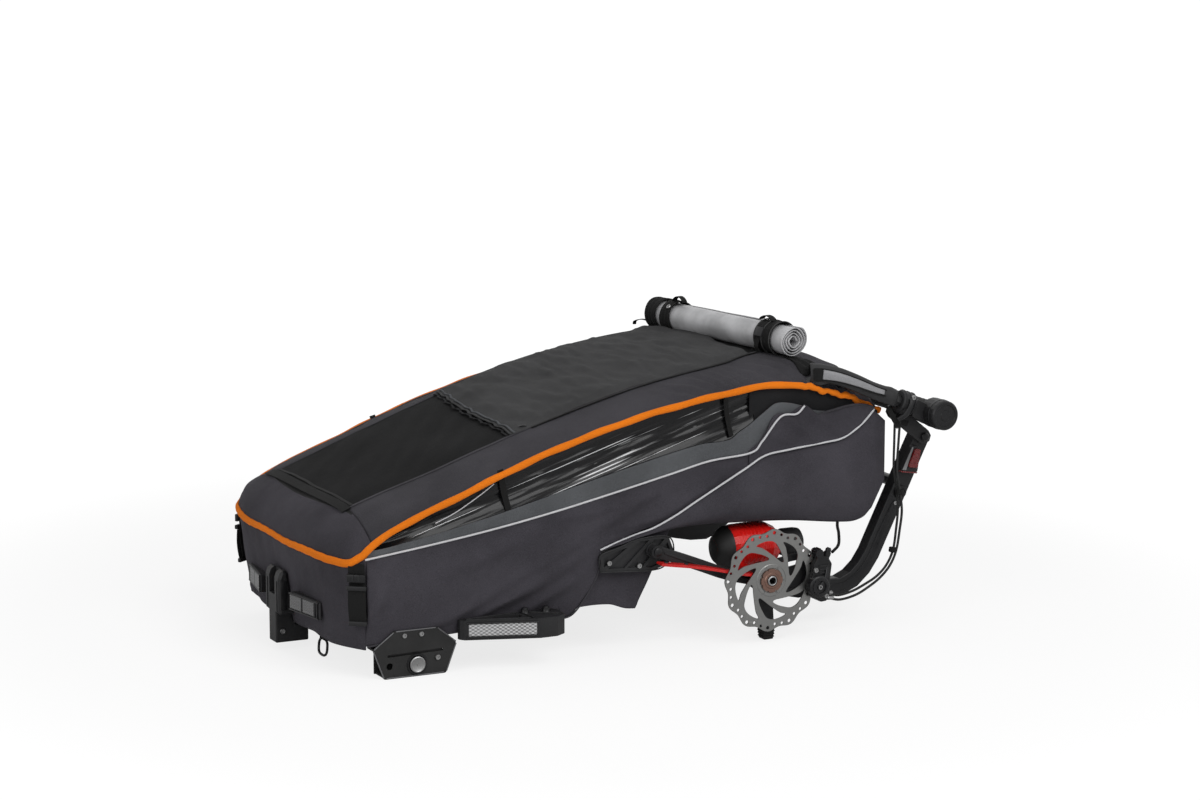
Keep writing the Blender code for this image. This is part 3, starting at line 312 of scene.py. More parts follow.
finishes = {
    "body": cloth("bodyCloth", (0.048, 0.045, 0.053)),
    "border": cloth("borderCloth", (0.047, 0.045, 0.051)),
    "shade": cloth("shadeCloth", (0.044, 0.044, 0.045), fleck=0.12, crease=0.8, rough=0.8),
    "trim": cloth("trimCloth", (0.088, 0.092, 0.098), fleck=0.15),
    # Near-black cloth: the seat's floor cloth, and also the painted shade behind the gussets and the painted
    # shadow in front of the sunshade hem
    "dark": cloth("darkClothAndPaintedShade", (0.014, 0.014, 0.015)),
    "seat": cloth("seatCloth", (0.06, 0.06, 0.066), threads=1.6),
    "mesh": netting("windowNetting", (0.0125, 0.0125, 0.0128)),
    "band": webbing("bandWebbing", (0.018, 0.018, 0.018)),
    "strap": webbing("strapWebbing", (0.012, 0.012, 0.012)),
    "roll": moulded("rolledFilm", (0.44, 0.44, 0.45), 0.36, 260.0),
    "webLight": webbing("edgeWebbing", (0.06, 0.06, 0.06)),
    "shoulder": moulded("shoulderSkin", (0.02, 0.02, 0.021), 0.6, 500.0),
    "bracket": moulded("bracketPlastic", (0.016, 0.016, 0.016), 0.45),
    "post": moulded("postPlastic", (0.011, 0.011, 0.012), 0.45),
    # Pale grey of the bracket rim's beads: a painted highlight where the chamfer catches the light
    "edgeWear": moulded("paintedRimHighlight", (0.11, 0.11, 0.115), 0.4),
    "redLeaf": lacquer("redLeaf", (0.5, 0.009, 0.008), 0.42),
    "orange": cloth("pipingCloth", (0.76, 0.185, 0.01), fleck=0.06, patch=0.05, threads=0.8, crease=0.3),
    "silver": reflectiveTape("silverPiping", (0.56, 0.56, 0.58)),
    "inlay": reflectiveTape("shoulderInlay", (0.25, 0.25, 0.26)),
    "film": clearFilm("windowFilm"),
    "plastic": moulded("mouldedPlastic", (0.015, 0.015, 0.016), 0.5),
    "gloss": moulded("smoothPlastic", (0.009, 0.009, 0.01), 0.34),
    "grey": moulded("greyPlastic", (0.16, 0.16, 0.165), 0.42),
    "tube": paintedTube("tubePaint", (0.016, 0.016, 0.017)),
    "rubber": moulded("rubber", (0.016, 0.016, 0.016), 0.72, 500.0),
    "foam": moulded("gripFoam", (0.022, 0.022, 0.022), 0.8, 700.0, 0.4),
    "red": lacquer("redLacquer", (0.66, 0.01, 0.008)),
    "dome": moulded("blackDome", (0.012, 0.012, 0.012), 0.5),
    "redLens": lensPlastic("redLens", (0.13, 0.004, 0.005), 0.0036),
    "whiteLens": lensPlastic("whiteLens", (0.36, 0.36, 0.365), 0.0052),
    "frontLens": lensPlastic("frontLens", (0.09, 0.09, 0.092), 0.0045, 0.3),
    "steel": brushedSteel("rotorSteel", (0.215, 0.215, 0.21), axle),
    "bolt": brushedSteel("boltSteel", (0.28, 0.28, 0.28), button),
    "ring": brushedSteel("lockRing", (0.19, 0.115, 0.092), axle),
}
print("finishes ready")


def meshPiece(name, bm, body, skins, replaced=(), wall=None):
    # Turns a finished drawing into an object at the origin that rides on its body.
    mesh = bpy.data.meshes.new(name)
    bm.to_mesh(mesh)
    bm.free()
    mesh.transform(drawingShift)
    piece = bpy.data.objects.new(name, mesh)
    bpy.context.scene.collection.objects.link(piece)
    for key in ([skins] if isinstance(skins, str) else skins):
        mesh.materials.append(finishes[key])
    mesh.shade_smooth()
    mesh.set_sharp_from_angle(angle=radians(38))
    if body:
        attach(piece, body)
    if replaced:
        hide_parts(*replaced)
    if wall:
        shell = piece.modifiers.new("wall", "SOLIDIFY")
        shell.thickness = wall
        shell.offset = -1.0
    return piece


def soften(piece, width):
    edge = piece.modifiers.new("edge", "BEVEL")
    edge.width = width
    edge.segments = 2
    edge.profile = 0.5
    edge.material = -1
    edge.limit_method = "ANGLE"
    edge.angle_limit = radians(35)
    return piece


def spread(across, along, spot, skin=None, flip=False, wrap=False):
    # A grid laid over a surface: spot(u, v) gives the place, skin(u, v) the material's number.
    bm = bmesh.new()
    bm.loops.layers.uv.new("UVMap")
    bmesh.ops.create_grid(bm, x_segments=across, y_segments=along, size=0.5, calc_uvs=True)
    if skin:
        for face in bm.faces:
            middle = face.calc_center_median()
            face.material_index = skin(middle.x + 0.5, middle.y + 0.5)
    for vert in bm.verts:
        vert.co = spot(vert.co.x + 0.5, vert.co.y + 0.5)
    if wrap:
        bmesh.ops.remove_doubles(bm, verts=bm.verts, dist=0.00002)
    if flip:
        bmesh.ops.reverse_faces(bm, faces=bm.faces)
    return bm


def smoothLine(points, count):
    # Catmull-Rom line through the points.
    knots = [Vector(point) for point in points]
    knots = [knots[0] * 2 - knots[1]] + knots + [knots[-1] * 2 - knots[-2]]
    spans = len(knots) - 3
    line = []
    for i in range(count):
        at = i * spans / (count - 1)
        k = min(int(at), spans - 1)
        t = at - k
        a, b, c, d = knots[k:k + 4]
        line.append(0.5 * (2 * b + (c - a) * t + (2 * a - 5 * b + 4 * c - d) * t * t
                           + (3 * b - a - 3 * c + d) * t ** 3))
    return line


def sweep(path, section, sides=12, up=(0, 0, 1), closed=True):
    # Skin around a path; section(t, angle) gives (sideways, upwards) at that place.
    path = [Vector(point) for point in path]
    last = len(path) - 1
    frames = []
    for i in range(last + 1):
        ahead = (path[min(i + 1, last)] - path[max(i - 1, 0)]).normalized()
        across = ahead.cross(Vector(up)).normalized()
        frames.append((path[i], across, across.cross(ahead)))

    def spot(u, v):
        where, across, rise = frames[round(v * last)]
        a, b = section(v, u * tau)
        return where + across * a + rise * b
    bm = spread(sides, last, spot, wrap=True)
    if closed:
        bmesh.ops.holes_fill(bm, edges=[edge for edge in bm.edges if edge.is_boundary], sides=0)
    bmesh.ops.recalc_face_normals(bm, faces=bm.faces)
    return bm


def roundSection(radius):
    return lambda t, angle: (radius * cos(angle), radius * sin(angle))


def ribbonSweep(path, width, thick, up=(0, 0, 1)):
    # Flat strap along a path: width lies along the path's side, thick along its rise.
    def section(t, angle):
        c, s = cos(angle), sin(angle)
        return (copysign(abs(c) ** 0.35, c) * width / 2, copysign(abs(s) ** 0.6, s) * thick / 2)
    return sweep(path, section, sides=16, up=up)


def onSide(y, points):
    return [(x, y, z) for x, z in points]


def beadPiece(name, path, radius, faces, body, skin, **how):
    return meshPiece(name, sweep(path, roundSection(radius), faces, **how), body, skin)


def tapePiece(name, path, width, thick, body, skin, **how):
    return meshPiece(name, ribbonSweep(path, width, thick, **how), body, skin)


def lineAt(points, x):
    if x <= points[0][0]:
        return points[0][1]
    for i in range(len(points) - 1):
        x0, z0 = points[i]
        x1, z1 = points[i + 1]
        if x <= x1:
            before, after = points[max(i - 1, 0)], points[min(i + 2, len(points) - 1)]
            s0 = (z1 - before[1]) / (x1 - before[0])
            s1 = (after[1] - z0) / (after[0] - x0)
            t = (x - x0) / (x1 - x0)
            span = x1 - x0
            return ((2 * t ** 3 - 3 * t ** 2 + 1) * z0 + (t ** 3 - 2 * t ** 2 + t) * span * s0
                    + (3 * t ** 2 - 2 * t ** 3) * z1 + (t ** 3 - t ** 2) * span * s1)
    return points[-1][1]


def ease(t):
    t = min(max(t, 0.0), 1.0)
    return t * t * (3 - 2 * t)


def ridge(x, z, points, width, height):
    # Height of a fold that runs along a few (x, z) points and fades at its ends.
    best = 0.0
    total = len(points) - 1
    for i in range(total):
        ax, az = points[i]
        bx, bz = points[i + 1]
        dx, dz = bx - ax, bz - az
        t = ((x - ax) * dx + (z - az) * dz) / (dx * dx + dz * dz)
        t = min(max(t, 0.0), 1.0)
        gap = hypot(x - ax - dx * t, z - az - dz * t)
        along = (i + t) / total
        fade = sin(pi * min(max(0.06 + 0.88 * along, 0.0), 1.0)) ** 0.6
        best = max(best, fade * exp(-(gap / width) ** 2))
    return best * height


def rumple(x, y, scale, seed=0.0):
    return noise.noise(Vector((x * scale + seed, y * scale - seed, seed * 1.7)))


# Camera, at the photograph's place
viewValues = {"place": (-2.3274, -4.9114, 1.3133), "azimuth": 25.886, "down": 10.068, "lens": 105.0}
camera = bpy.data.objects.new("camera", bpy.data.cameras.new("camera"))
bpy.context.scene.collection.objects.link(camera)
camera.data.lens = viewValues["lens"]
camera.data.sensor_width = 36.0
camera.location = drawingShift @ Vector(viewValues["place"])
turn, down = radians(viewValues["azimuth"]), radians(viewValues["down"])
aim = Vector((sin(turn) * cos(down), cos(turn) * cos(down), -sin(down)))
camera.rotation_euler = aim.to_track_quat("-Z", "Y").to_euler()
bpy.context.scene.camera = camera

# Cables: each rides on one body and hangs in a free loop between collar or bag and caliper
cableValues = {
    "outer": [(0.4524, 0.2617, 0.3314), (0.4475, 0.2652, 0.29), (0.4435, 0.2684, 0.2453),
              (0.4478, 0.2702, 0.2132), (0.4524, 0.2702, 0.1807), (0.4489, 0.2702, 0.1489),
              (0.4429, 0.271, 0.1175), (0.4307, 0.273, 0.0949), (0.4104, 0.277, 0.0776),
              (0.3839, 0.284, 0.0657), (0.358, 0.29, 0.0575), (0.3277, 0.296, 0.0548),
              (0.303, 0.303, 0.0613)],
    "inner": [(0.4445, 0.2583, 0.3342), (0.4428, 0.26, 0.29), (0.4414, 0.2622, 0.2453),
              (0.446, 0.264, 0.2132), (0.4485, 0.2645, 0.1807), (0.4455, 0.2648, 0.1489),
              (0.44, 0.266, 0.1175), (0.4275, 0.268, 0.0952), (0.4075, 0.272, 0.0795),
              (0.38, 0.278, 0.069), (0.355, 0.284, 0.0625), (0.327, 0.29, 0.0605), (0.3045, 0.297, 0.068)],
    "link": [(0.352, 0.2488, 0.2048), (0.3515, 0.2478, 0.185), (0.347, 0.251, 0.164),
             (0.34, 0.268, 0.1535), (0.3262, 0.2915, 0.1413), (0.308, 0.3045, 0.134)],
}


def runCable(name, points, radius, body, node, skin):
    line = smoothLine([(x, -y, z) for x, y, z in points], 72)
    line = [drawingShift @ spot for spot in line]
    curve = bpy.data.curves.new(name, "CURVE")
    curve.dimensions = "3D"
    curve.bevel_depth = radius
    curve.bevel_resolution = 4
    curve.use_fill_caps = True
    spline = curve.splines.new("POLY")
    spline.points.add(len(line) - 1)
    for knot, spot in zip(spline.points, line):
        knot.co = (*spot, 1.0)
    cable = bpy.data.objects.new(name, curve)
    bpy.context.scene.collection.objects.link(cable)
    curve.materials.append(finishes[skin])
    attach(cable, body)
    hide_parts(node)
    length = sum((b - a).length for a, b in zip(line, line[1:]))
    tuple(line[0])


for name, key, radius, body, node, skin, stiffness in (
        ("brakeCableOuter", "outer", 0.002, "rear_frame", "brake_cable_outer", "rubber", "stiff"),
        ("brakeCableInner", "inner", 0.002, "rear_frame", "brake_cable_inner", "rubber", "stiff"),
        ("caliperLinkCable", "link", 0.0024, "chassis", "caliper_link_cable", "strap", "medium")):
    runCable(name, cableValues[key], radius, body, node, skin)
print("camera and cables placed")

# Floor and lights
stageValues = {"world": 0.36, "key": 92.0, "fill": 28.0, "top": 12.0, "floorGlow": 0.76, "glow": 1.05,
               "white": (0.75, 1.5)}


def buildStage():
    bm = bmesh.new()
    bmesh.ops.create_grid(bm, x_segments=4, y_segments=4, size=60.0)
    mesh = bpy.data.meshes.new("studioFloor")
    bm.to_mesh(mesh)
    bm.free()
    floor = bpy.data.objects.new("studioFloor", mesh)
    bpy.context.scene.collection.objects.link(floor)
    made = Finish("studioFloor", (0.9, 0.9, 0.9), 0.9, {"Specular IOR Level": 0.0})
    seen = made.node("ShaderNodeLightPath")
    glow = made.tree.nodes.new("ShaderNodeEmission")
    glow.inputs["Strength"].default_value = stageValues["glow"]
    blendIn = made.tree.nodes.new("ShaderNodeMixShader")
    x, y, z = made.axes()
    away = (x * x + y * y * 0.8).join("SQRT").between(*stageValues["white"])
    made.feed(blendIn.inputs[0], seen * (away * (1 - stageValues["floorGlow"]) + stageValues["floorGlow"]))
    made.tree.links.new(made.shader.outputs[0], blendIn.inputs[1])
    made.tree.links.new(glow.outputs[0], blendIn.inputs[2])
    made.tree.links.new(blendIn.outputs[0], made.tree.nodes["Material Output"].inputs[0])
    mesh.materials.append(made.material)

    world = bpy.data.worlds.new("studio")
    bpy.context.scene.world = world
    world.use_nodes = True
    nodes, links = world.node_tree.nodes, world.node_tree.links
    backdrop = nodes["Background"]
    backdrop.inputs["Color"].default_value = (1, 1, 1, 1)
    path = nodes.new("ShaderNodeLightPath")
    plain = None
    for name in ("Is Camera Ray", "Is Glossy Ray", "Is Transmission Ray"):
        if plain is None:
            plain = path.outputs[name]
            continue
        most = nodes.new("ShaderNodeMath")
        most.operation = "MAXIMUM"
        links.new(plain, most.inputs[0])
        links.new(path.outputs[name], most.inputs[1])
        plain = most.outputs[0]
    level = nodes.new("ShaderNodeMapRange")
    links.new(plain, level.inputs[0])
    level.inputs[3].default_value = stageValues["world"]
    level.inputs[4].default_value = 1.0
    links.new(level.outputs[0], backdrop.inputs["Strength"])

    for name, place, size, power in (("key", (0.6, -3.4, 3.0), 2.6, stageValues["key"]),
                                     ("fill", (-3.2, -1.6, 1.8), 2.2, stageValues["fill"]),
                                     ("top", (0.4, 0.8, 3.4), 3.0, stageValues["top"])):
        lamp = bpy.data.lights.new(name, "AREA")
        lamp.shape = "SQUARE"
        lamp.size = size
        lamp.energy = power
        holder = bpy.data.objects.new(name, lamp)
        holder.location = place
        holder.rotation_euler = (Vector((0, 0, 0.2)) - Vector(place)).to_track_quat("-Z", "Y").to_euler()
        bpy.context.scene.collection.objects.link(holder)
    bpy.context.scene.view_settings.view_transform = "Standard"


buildStage()
print("stage lit")

# Lines of the cloth body, as (x, z) points seen from the side
lines = {
    "piping": [(-0.47, 0.18), (-0.41, 0.222), (-0.31, 0.262), (-0.16, 0.318), (-0.01, 0.36),
               (0.09, 0.379), (0.19, 0.3925), (0.234, 0.395), (0.283, 0.3895), (0.309, 0.3825),
               (0.341, 0.374), (0.377, 0.362), (0.39, 0.354), (0.413, 0.3444), (0.43, 0.336)],
    "crown": [(-0.437, 0.247), (-0.29, 0.299), (-0.17, 0.341), (-0.05, 0.38), (0.05, 0.404),
              (0.175, 0.423), (0.27, 0.427), (0.35, 0.42), (0.43, 0.386)],
    "skirt": [(-0.48, 0.046), (-0.4435, 0.051), (-0.285, 0.059), (-0.137, 0.063), (-0.1124, 0.0648),
              (-0.0829, 0.1025), (-0.0682, 0.1321), (-0.064, 0.16), (-0.036, 0.174), (0.02, 0.19),
              (0.12, 0.203), (0.41, 0.206)],
    "bandLow": [(-0.452, 0.2033), (-0.4491, 0.1851), (-0.3455, 0.1976), (-0.2482, 0.2111), (-0.1495, 0.2279),
                (-0.0493, 0.248), (0.0525, 0.2699), (0.1194, 0.2844), (0.1871, 0.2927), (0.208, 0.3098),
                (0.2392, 0.3449), (0.2674, 0.3474), (0.2814, 0.3589)],
    "bandTop": [(-0.4465, 0.196), (-0.4014, 0.2015), (-0.3453, 0.2112), (-0.2236, 0.2362), (-0.0995, 0.2663),
                (0.0013, 0.2899), (0.1032, 0.3109), (0.1551, 0.3144), (0.1724, 0.3254), (0.1897, 0.335),
                (0.2158, 0.3532), (0.2332, 0.3644), (0.2507, 0.3653), (0.2808, 0.3583), (0.3, 0.35),
                (0.41, 0.33)],
    "pocketSeam": [(-0.066, 0.163), (-0.036, 0.173), (-0.0054, 0.1824), (0.0235, 0.1906), (0.0611, 0.2073),
                   (0.0988, 0.2273), (0.1765, 0.2673), (0.213, 0.2861), (0.2551, 0.292), (0.3152, 0.298),
                   (0.3473, 0.3017), (0.3704, 0.3124), (0.39, 0.3267), (0.4077, 0.343)],
    "pocketLow": [(-0.066, 0.16), (-0.036, 0.168), (-0.01, 0.176), (0.0825, 0.186), (0.1695, 0.184),
                  (0.2575, 0.179), (0.3645, 0.167), (0.392, 0.172), (0.4077, 0.186)],
    "gussetTop": [(0.1871, 0.295), (0.208, 0.312), (0.233, 0.3473), (0.2592, 0.3492), (0.2803, 0.3585),
                  (0.292, 0.3528), (0.3054, 0.3423), (0.3205, 0.345), (0.3365, 0.3477), (0.3543, 0.3511),
                  (0.3721, 0.3528), (0.3901, 0.3514), (0.4082, 0.346)],
    "flapLow": [(-0.135, 0.0745), (-0.1165, 0.0749), (-0.0492, 0.0757), (-0.0195, 0.0667), (0.0115, 0.0638)],
}
cabin = {"edge": 0.25, "panel": 0.2515, "pocket": 0.2675}
nose = {"front": -0.494, "bow": 0.028, "low": 0.044, "seam": 0.178, "flatShare": 0.86, "flatHalf": 0.235,
        "cornerX": -0.4462, "foldX": -0.4368, "foldTop": 0.247, "foldDegrees": 70}


def edgeHalf(x):
    return cabin["edge"] - 0.0015 * ease((-0.42 - x) / 0.016) - 0.01 * ease((x - 0.34) / 0.08)


def panelHalf(z):
    return cabin["panel"] - 0.0075 * (1 - ease((z - 0.055) / 0.065))


def roofSpot(x, y):
    # Top of the canopy, with the soft sag between its tubes and the pull towards its piping.
    half = edgeHalf(x)
    across = y / half
    crown = lineAt(lines["crown"], x)
    power = 4.5 + 4.5 * ease((x - 0.19) / 0.06) * (1 - ease((x - 0.3) / 0.06))
    return crown - (crown - lineAt(lines["piping"], x)) * min(1.0, abs(across)) ** power


def nosePlan(across, middle, bow):
    # Plan of the nose: (x, y) and how far round the corner the place is.
    far = abs(across)
    corner = middle + bow
    share, half = nose["flatShare"], nose["flatHalf"]
    if far <= share:
        return middle + bow * (far / share) ** 4, copysign(half * far / share, across), 0.0
    turn = (far - share) / 0.14
    return (corner + (nose["cornerX"] - corner) * turn, copysign(half + 0.0115 * turn, across), turn)


def foldSpot(across, lift):
    # Place on the fabric that folds from the front piping (lift 0) up to the canopy (lift 1).
    x, y, turn = nosePlan(across, nose["front"], nose["bow"])
    z = nose["seam"] + 0.015 * turn
    endY = edgeHalf(-0.4355) * across
    endZ = nose["foldTop"] - (nose["foldTop"] - lineAt(lines["piping"], -0.4365)) * abs(across) ** 4.5
    angle, full = radians(nose["foldDegrees"] * lift), radians(nose["foldDegrees"])
    run = (1 - cos(angle)) / (1 - cos(full))
    rise = sin(angle) / sin(full)
    return Vector((x + (nose["foldX"] - x) * run, y + (endY - y) * run, z + (endZ - z) * rise))


def declareCloth(piece, slack=1.02):
    # A sheet's cut size, from its own extent and area; it is worked out and not kept
    mesh = piece.data
    area = sum(face.area for face in mesh.polygons)
    low = [min(vert.co[i] for vert in mesh.vertices) for i in range(3)]
    high = [max(vert.co[i] for vert in mesh.vertices) for i in range(3)]
    size = sorted((high[i] - low[i] for i in range(3)), reverse=True)
    length = size[0] * 1.02
    width = min(max(size[1], area / length) * slack, area / (0.4 * length))
    round(min(area, width * length), 5)


# Canopy: one curved sheet with a netting window let into it
windowHalf = [(-0.4353, 0.152), (-0.3901, 0.156), (-0.2913, 0.165), (-0.1741, 0.169), (-0.0493, 0.175),
              (0.054, 0.173), (0.1822, 0.167), (0.2685, 0.138), (0.302, 0.11)]


def canopyRelief(x, y, half):
    netted = abs(y) < lineAt(windowHalf, x)
    near = ease((abs(y) / half - 0.7) / 0.24)
    pulls = sin(x * 260 + 2.4 * sin(x * 37) - abs(y) * 190) * 0.003 * near * ease((x - 0.02) / 0.1)
    pulls += sin(x * 120 + sin(x * 31) * 2 + abs(y) * 60) * 0.0005 * near
    soft = rumple(x, y * 0.5, 14.0, 3.1) * (0.0032 if netted else 0.0012)
    slant = rumple(x - y * 0.8, y * 0.2 + x * 0.2, 26.0, 8.2) * (0.0026 if netted else 0.0008)
    return pulls + soft + slant


canopyValues = {"front": -0.4362, "rear": 0.43, "windowShare": 0.62, "windowEnd": 0.302,
                "windowEndHalf": 0.11, "wall": 0.0016}


def buildCanopy():
    front, inner, windowEnd = canopyValues["front"], canopyValues["windowShare"], canopyValues["windowEnd"]

    def spot(u, v):
        across = 2 * u - 1
        end = canopyValues["rear"] - 0.01 * across * across
        x = front + (end - front) * v
        half = edgeHalf(x)
        pane = lineAt(windowHalf, x) if x < windowEnd else canopyValues["windowEndHalf"]
        far = abs(across)
        y = pane * far / inner if far < inner else pane + (half - pane) * (far - inner) / (1 - inner)
        y = copysign(y, across)
        z = roofSpot(x, y) + canopyRelief(x, y, half)
        # seam of the window's binding
        gap = abs(abs(y) - pane)
        if x < 0.305:
            z += 0.0007 * exp(-(gap / 0.0035) ** 2)
        return x, y, z

    def skin(u, v):
        return 1 if abs(2 * u - 1) < inner and front + 0.866 * v < windowEnd else 0

    bm = spread(100, 220, spot, skin, flip=True)
    piece = meshPiece("canopyCloth", bm, "upper_frame", ("border", "mesh"), replaced=("canopy",),
                      wall=canopyValues["wall"])

    for side in sides:
        path = []
        for i in range(140):
            x = -0.4345 + 0.73 * i / 139
            y = side * (lineAt(windowHalf, x) + 0.001)
            path.append((x, y, roofSpot(x, y) + canopyRelief(x, y, edgeHalf(x)) + 0.0007))
        bm = ribbonSweep(path, 0.0075, 0.0012)
        meshPiece("windowBinding_" + sideName(side), bm, "upper_frame", "border")
    # Front binding across the window, just above the fold
    path = []
    for i in range(60):
        y = -0.153 + 0.306 * i / 59
        x = -0.433 + 0.004 * (y / 0.153) ** 2
        path.append((x, y, roofSpot(x, y) + canopyRelief(x, y, 0.25) + 0.0009))
    tapePiece("windowBinding_front", path, 0.007, 0.0012, "upper_frame", "band")
    declareCloth(piece)


hemLine = [(-0.169, -0.1735), (-0.067, -0.1728), (0.043, -0.1671), (0.166, -0.15)]     # (y, x) of the hem


sunshadeValues = {"rear": 0.25, "lift": 0.0022, "wall": 0.0011}


def buildSunshade():
    # Second layer, drawn back over the rear of the window up to the rolled cover.
    def spot(u, v):
        across = 2 * u - 1
        rear = sunshadeValues["rear"] + 0.012 * sin(across * 2.0)
        pane = 0.176 if across < 0 else 0.174
        y = across * pane
        front = lineAt(hemLine, max(min(y, 0.166), -0.169))
        x = front + (rear - front) * v
        half = lineAt(windowHalf, min(x, 0.26)) + 0.004
        y = across * min(half, pane)
        wrinkle = (rumple(x, y, 16.0, 1.3) * 0.0034 + rumple(x * 2.4 + y * 0.8, y * 0.6, 18.0, 5.7) * 0.0036
                   + rumple(x * 3.4, y * 0.5 - x, 26.0, 9.1) * 0.0022 + 0.0016)
        edge = min(1.0, (1 - abs(across)) * 9, v * 16 + 0.15)
        under = roofSpot(x, y) + canopyRelief(x, y, edgeHalf(x))
        return x, y, under + sunshadeValues["lift"] + max(0.0, wrinkle + 0.0014) * edge

    bm = spread(110, 150, spot, flip=True)
    piece = meshPiece("sunshadeCloth", bm, "upper_frame", "shade", wall=sunshadeValues["wall"])

    # Turned hem: two stitched ridges with a loose rolled edge in front
    for number, (ahead, width, high) in enumerate(((-0.0015, 0.0042, 0.0026), (0.004, 0.0036, 0.003))):
        path = []
        for i in range(130):
            across = -0.985 + 1.97 * i / 129
            x, y, z = spot((across + 1) / 2, 0.0)
            x += ahead + 0.001 * sin(y * 170 + 1.3 * sin(y * 61))
            path.append((x, y, roofSpot(x, y) + high + 0.0008 * sin(y * 120)))
        tapePiece(f"sunshadeHem_{number}", path, width, 0.002, "upper_frame",
                              "trim" if number else "shade")
    # Dark wavy tape in front of the hem: a painted shadow of the hem on the netting
    path = []
    for i in range(110):
        across = -0.975 + 1.95 * i / 109
        x, y, z = spot((across + 1) / 2, 0.0)
        x -= 0.0065 + 0.0016 * sin(y * 150) + 0.0008 * sin(y * 410)
        path.append((x, y, roofSpot(x, y) + 0.0015))
    tapePiece("sunshadeHemShadow", path, 0.0042, 0.0013, "upper_frame", "dark")
    # Zip with its puller along the near edge
    for side in sides:
        path = []
        for i in range(90):
            x = -0.145 + 0.4 * i / 89
            y = side * (lineAt(windowHalf, x) + 0.0062)
            path.append((x, y, roofSpot(x, y) + 0.0016))
        tapePiece("sunshadeZip_" + sideName(side), path, 0.0038, 0.0016, "upper_frame", "strap")
    puller = sweep(smoothLine([(-0.15, -0.166, 0.347), (-0.154, -0.1655, 0.3478),
                               (-0.16, -0.164, 0.3462)], 9),
                   lambda t, a: (0.0024 * cos(a) * (1 - 0.35 * t), 0.001 * sin(a)), 14)
    meshPiece("zipPuller", puller, "upper_frame", "gloss")
    declareCloth(piece)


def buildNose():
    low = nose["low"]

    def front(u, v):
        across = (2 * u - 1) * 1.045
        x, y, turn = nosePlan(across, nose["front"] + 0.022 * (1 - v), nose["bow"] - 0.009 * (1 - v))
        y = max(-0.2466, min(0.2466, y))
        top = nose["seam"] + 0.015 * min(turn, 1.0) - 0.0018
        out = (rumple(y, v * 0.14, 16.0, 4.4) * 0.0036 * (1 - v * 0.4)
               + rumple(y * 1.8, v * 0.1, 26.0, 2.2) * 0.002)
        out += 0.0016 * sin(y * 95 + 2 * sin(y * 31)) * exp(-((1 - v) / 0.22) ** 2)
        hem = 0.001 * exp(-((v - 0.06) / 0.02) ** 2)
        wavy = 0.0016 * sin(y * 46) * (1 - v) ** 3
        return x - out * 0.6 - hem, y * (1 - 0.03 * (1 - v)), low + (top - low) * v + wavy
    bm = spread(120, 44, front, flip=True)
    cover = meshPiece("noseCoverCloth", bm, "chassis", "body", replaced=("nose_cover",), wall=0.0018)
    declareCloth(cover)

    # The fold from the front piping up to the canopy, drawn bent through its fold angle
    def bandAt(y):
        far = min(abs(y) / 0.168, 1.2)
        return 0.79 + 0.15 * far * far, 0.935 + 0.075 * min(far, 1.0) ** 2

    def spot(u, v):
        across = 2 * u - 1
        y = 0.25 * across
        first, second = bandAt(y)
        second = max(second, first + 0.03)
        lift = (v / 0.7 * first if v < 0.7 else first + (v - 0.7) / 0.18 * (second - first) if v < 0.88
                else second + (v - 0.88) / 0.12 * (1.0 - second) if second < 1.0 else 1.0)
        lift = min(lift, 1.0)
        where = foldSpot(across, lift)
        puff = (rumple(y, lift * 0.1, 13.0, 6.2) * 0.0022
                + rumple(y * 2.0 + lift * 0.05, lift * 0.2, 20.0, 1.9) * 0.0012)
        puff *= sin(pi * min(max(lift, 0.02), 0.98)) ** 0.5
        angle = radians(nose["foldDegrees"] * lift)
        seam = 0.0008 * (exp(-((lift - first) / 0.02) ** 2) if abs(across) < 0.7 else 0.0)
        return where + Vector((-cos(angle), 0, sin(angle))) * (puff + seam + 0.0004)

    def skin(u, v):
        across = 2 * u - 1
        if abs(across) > 0.7:
            return 0
        return 0 if v < 0.7 else 1 if v < 0.88 else 2
    bm = spread(150, 50, spot, skin, flip=True)
    bmesh.ops.remove_doubles(bm, verts=bm.verts, dist=0.00001)
    fold = meshPiece("noseFoldCloth", bm, None, ("body", "band", "mesh"), replaced=("nose_fold",))
    declareCloth(fold, slack=1.1)
    wall = bmesh.new()
    wall.from_mesh(fold.data)
    bmesh.ops.solidify(wall, geom=wall.faces, thickness=0.0014)
    wall.to_mesh(fold.data)
    wall.free()
    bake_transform(fold)

    # Black tape that binds the window's front edge
    path = []
    for i in range(61):
        across = -0.645 + 1.29 * i / 60
        where = foldSpot(across, 0.925 + 0.035 * (across / 0.645) ** 2)
        path.append(where + Vector((-0.4, 0, 0.92)) * 0.0026)
    tapePiece("noseTape", path, 0.016, 0.0014, "upper_frame", "strap", up=(-0.4, 0, 0.92))

    # Piping across the nose
    path = []
    for i in range(200):
        across = -1.0 + 2.0 * i / 199
        x, y, turn = nosePlan(across, nose["front"], nose["bow"])
        path.append((x - 0.0012, y * 1.004, nose["seam"] + 0.015 * turn + 0.001 * sin(y * 38)
                     + 0.0004 * sin(y * 210)))
    path = smoothLine(path[::4], 180)

    def wave(t, a):
        high = 0.0056 + 0.0006 * sin(t * 9)
        return 0.0042 * cos(a) * (1 + 0.06 * sin(t * 300)), high * sin(a)

    piping = meshPiece("nosePiping", sweep(path, wave, 12), "chassis", "orange")


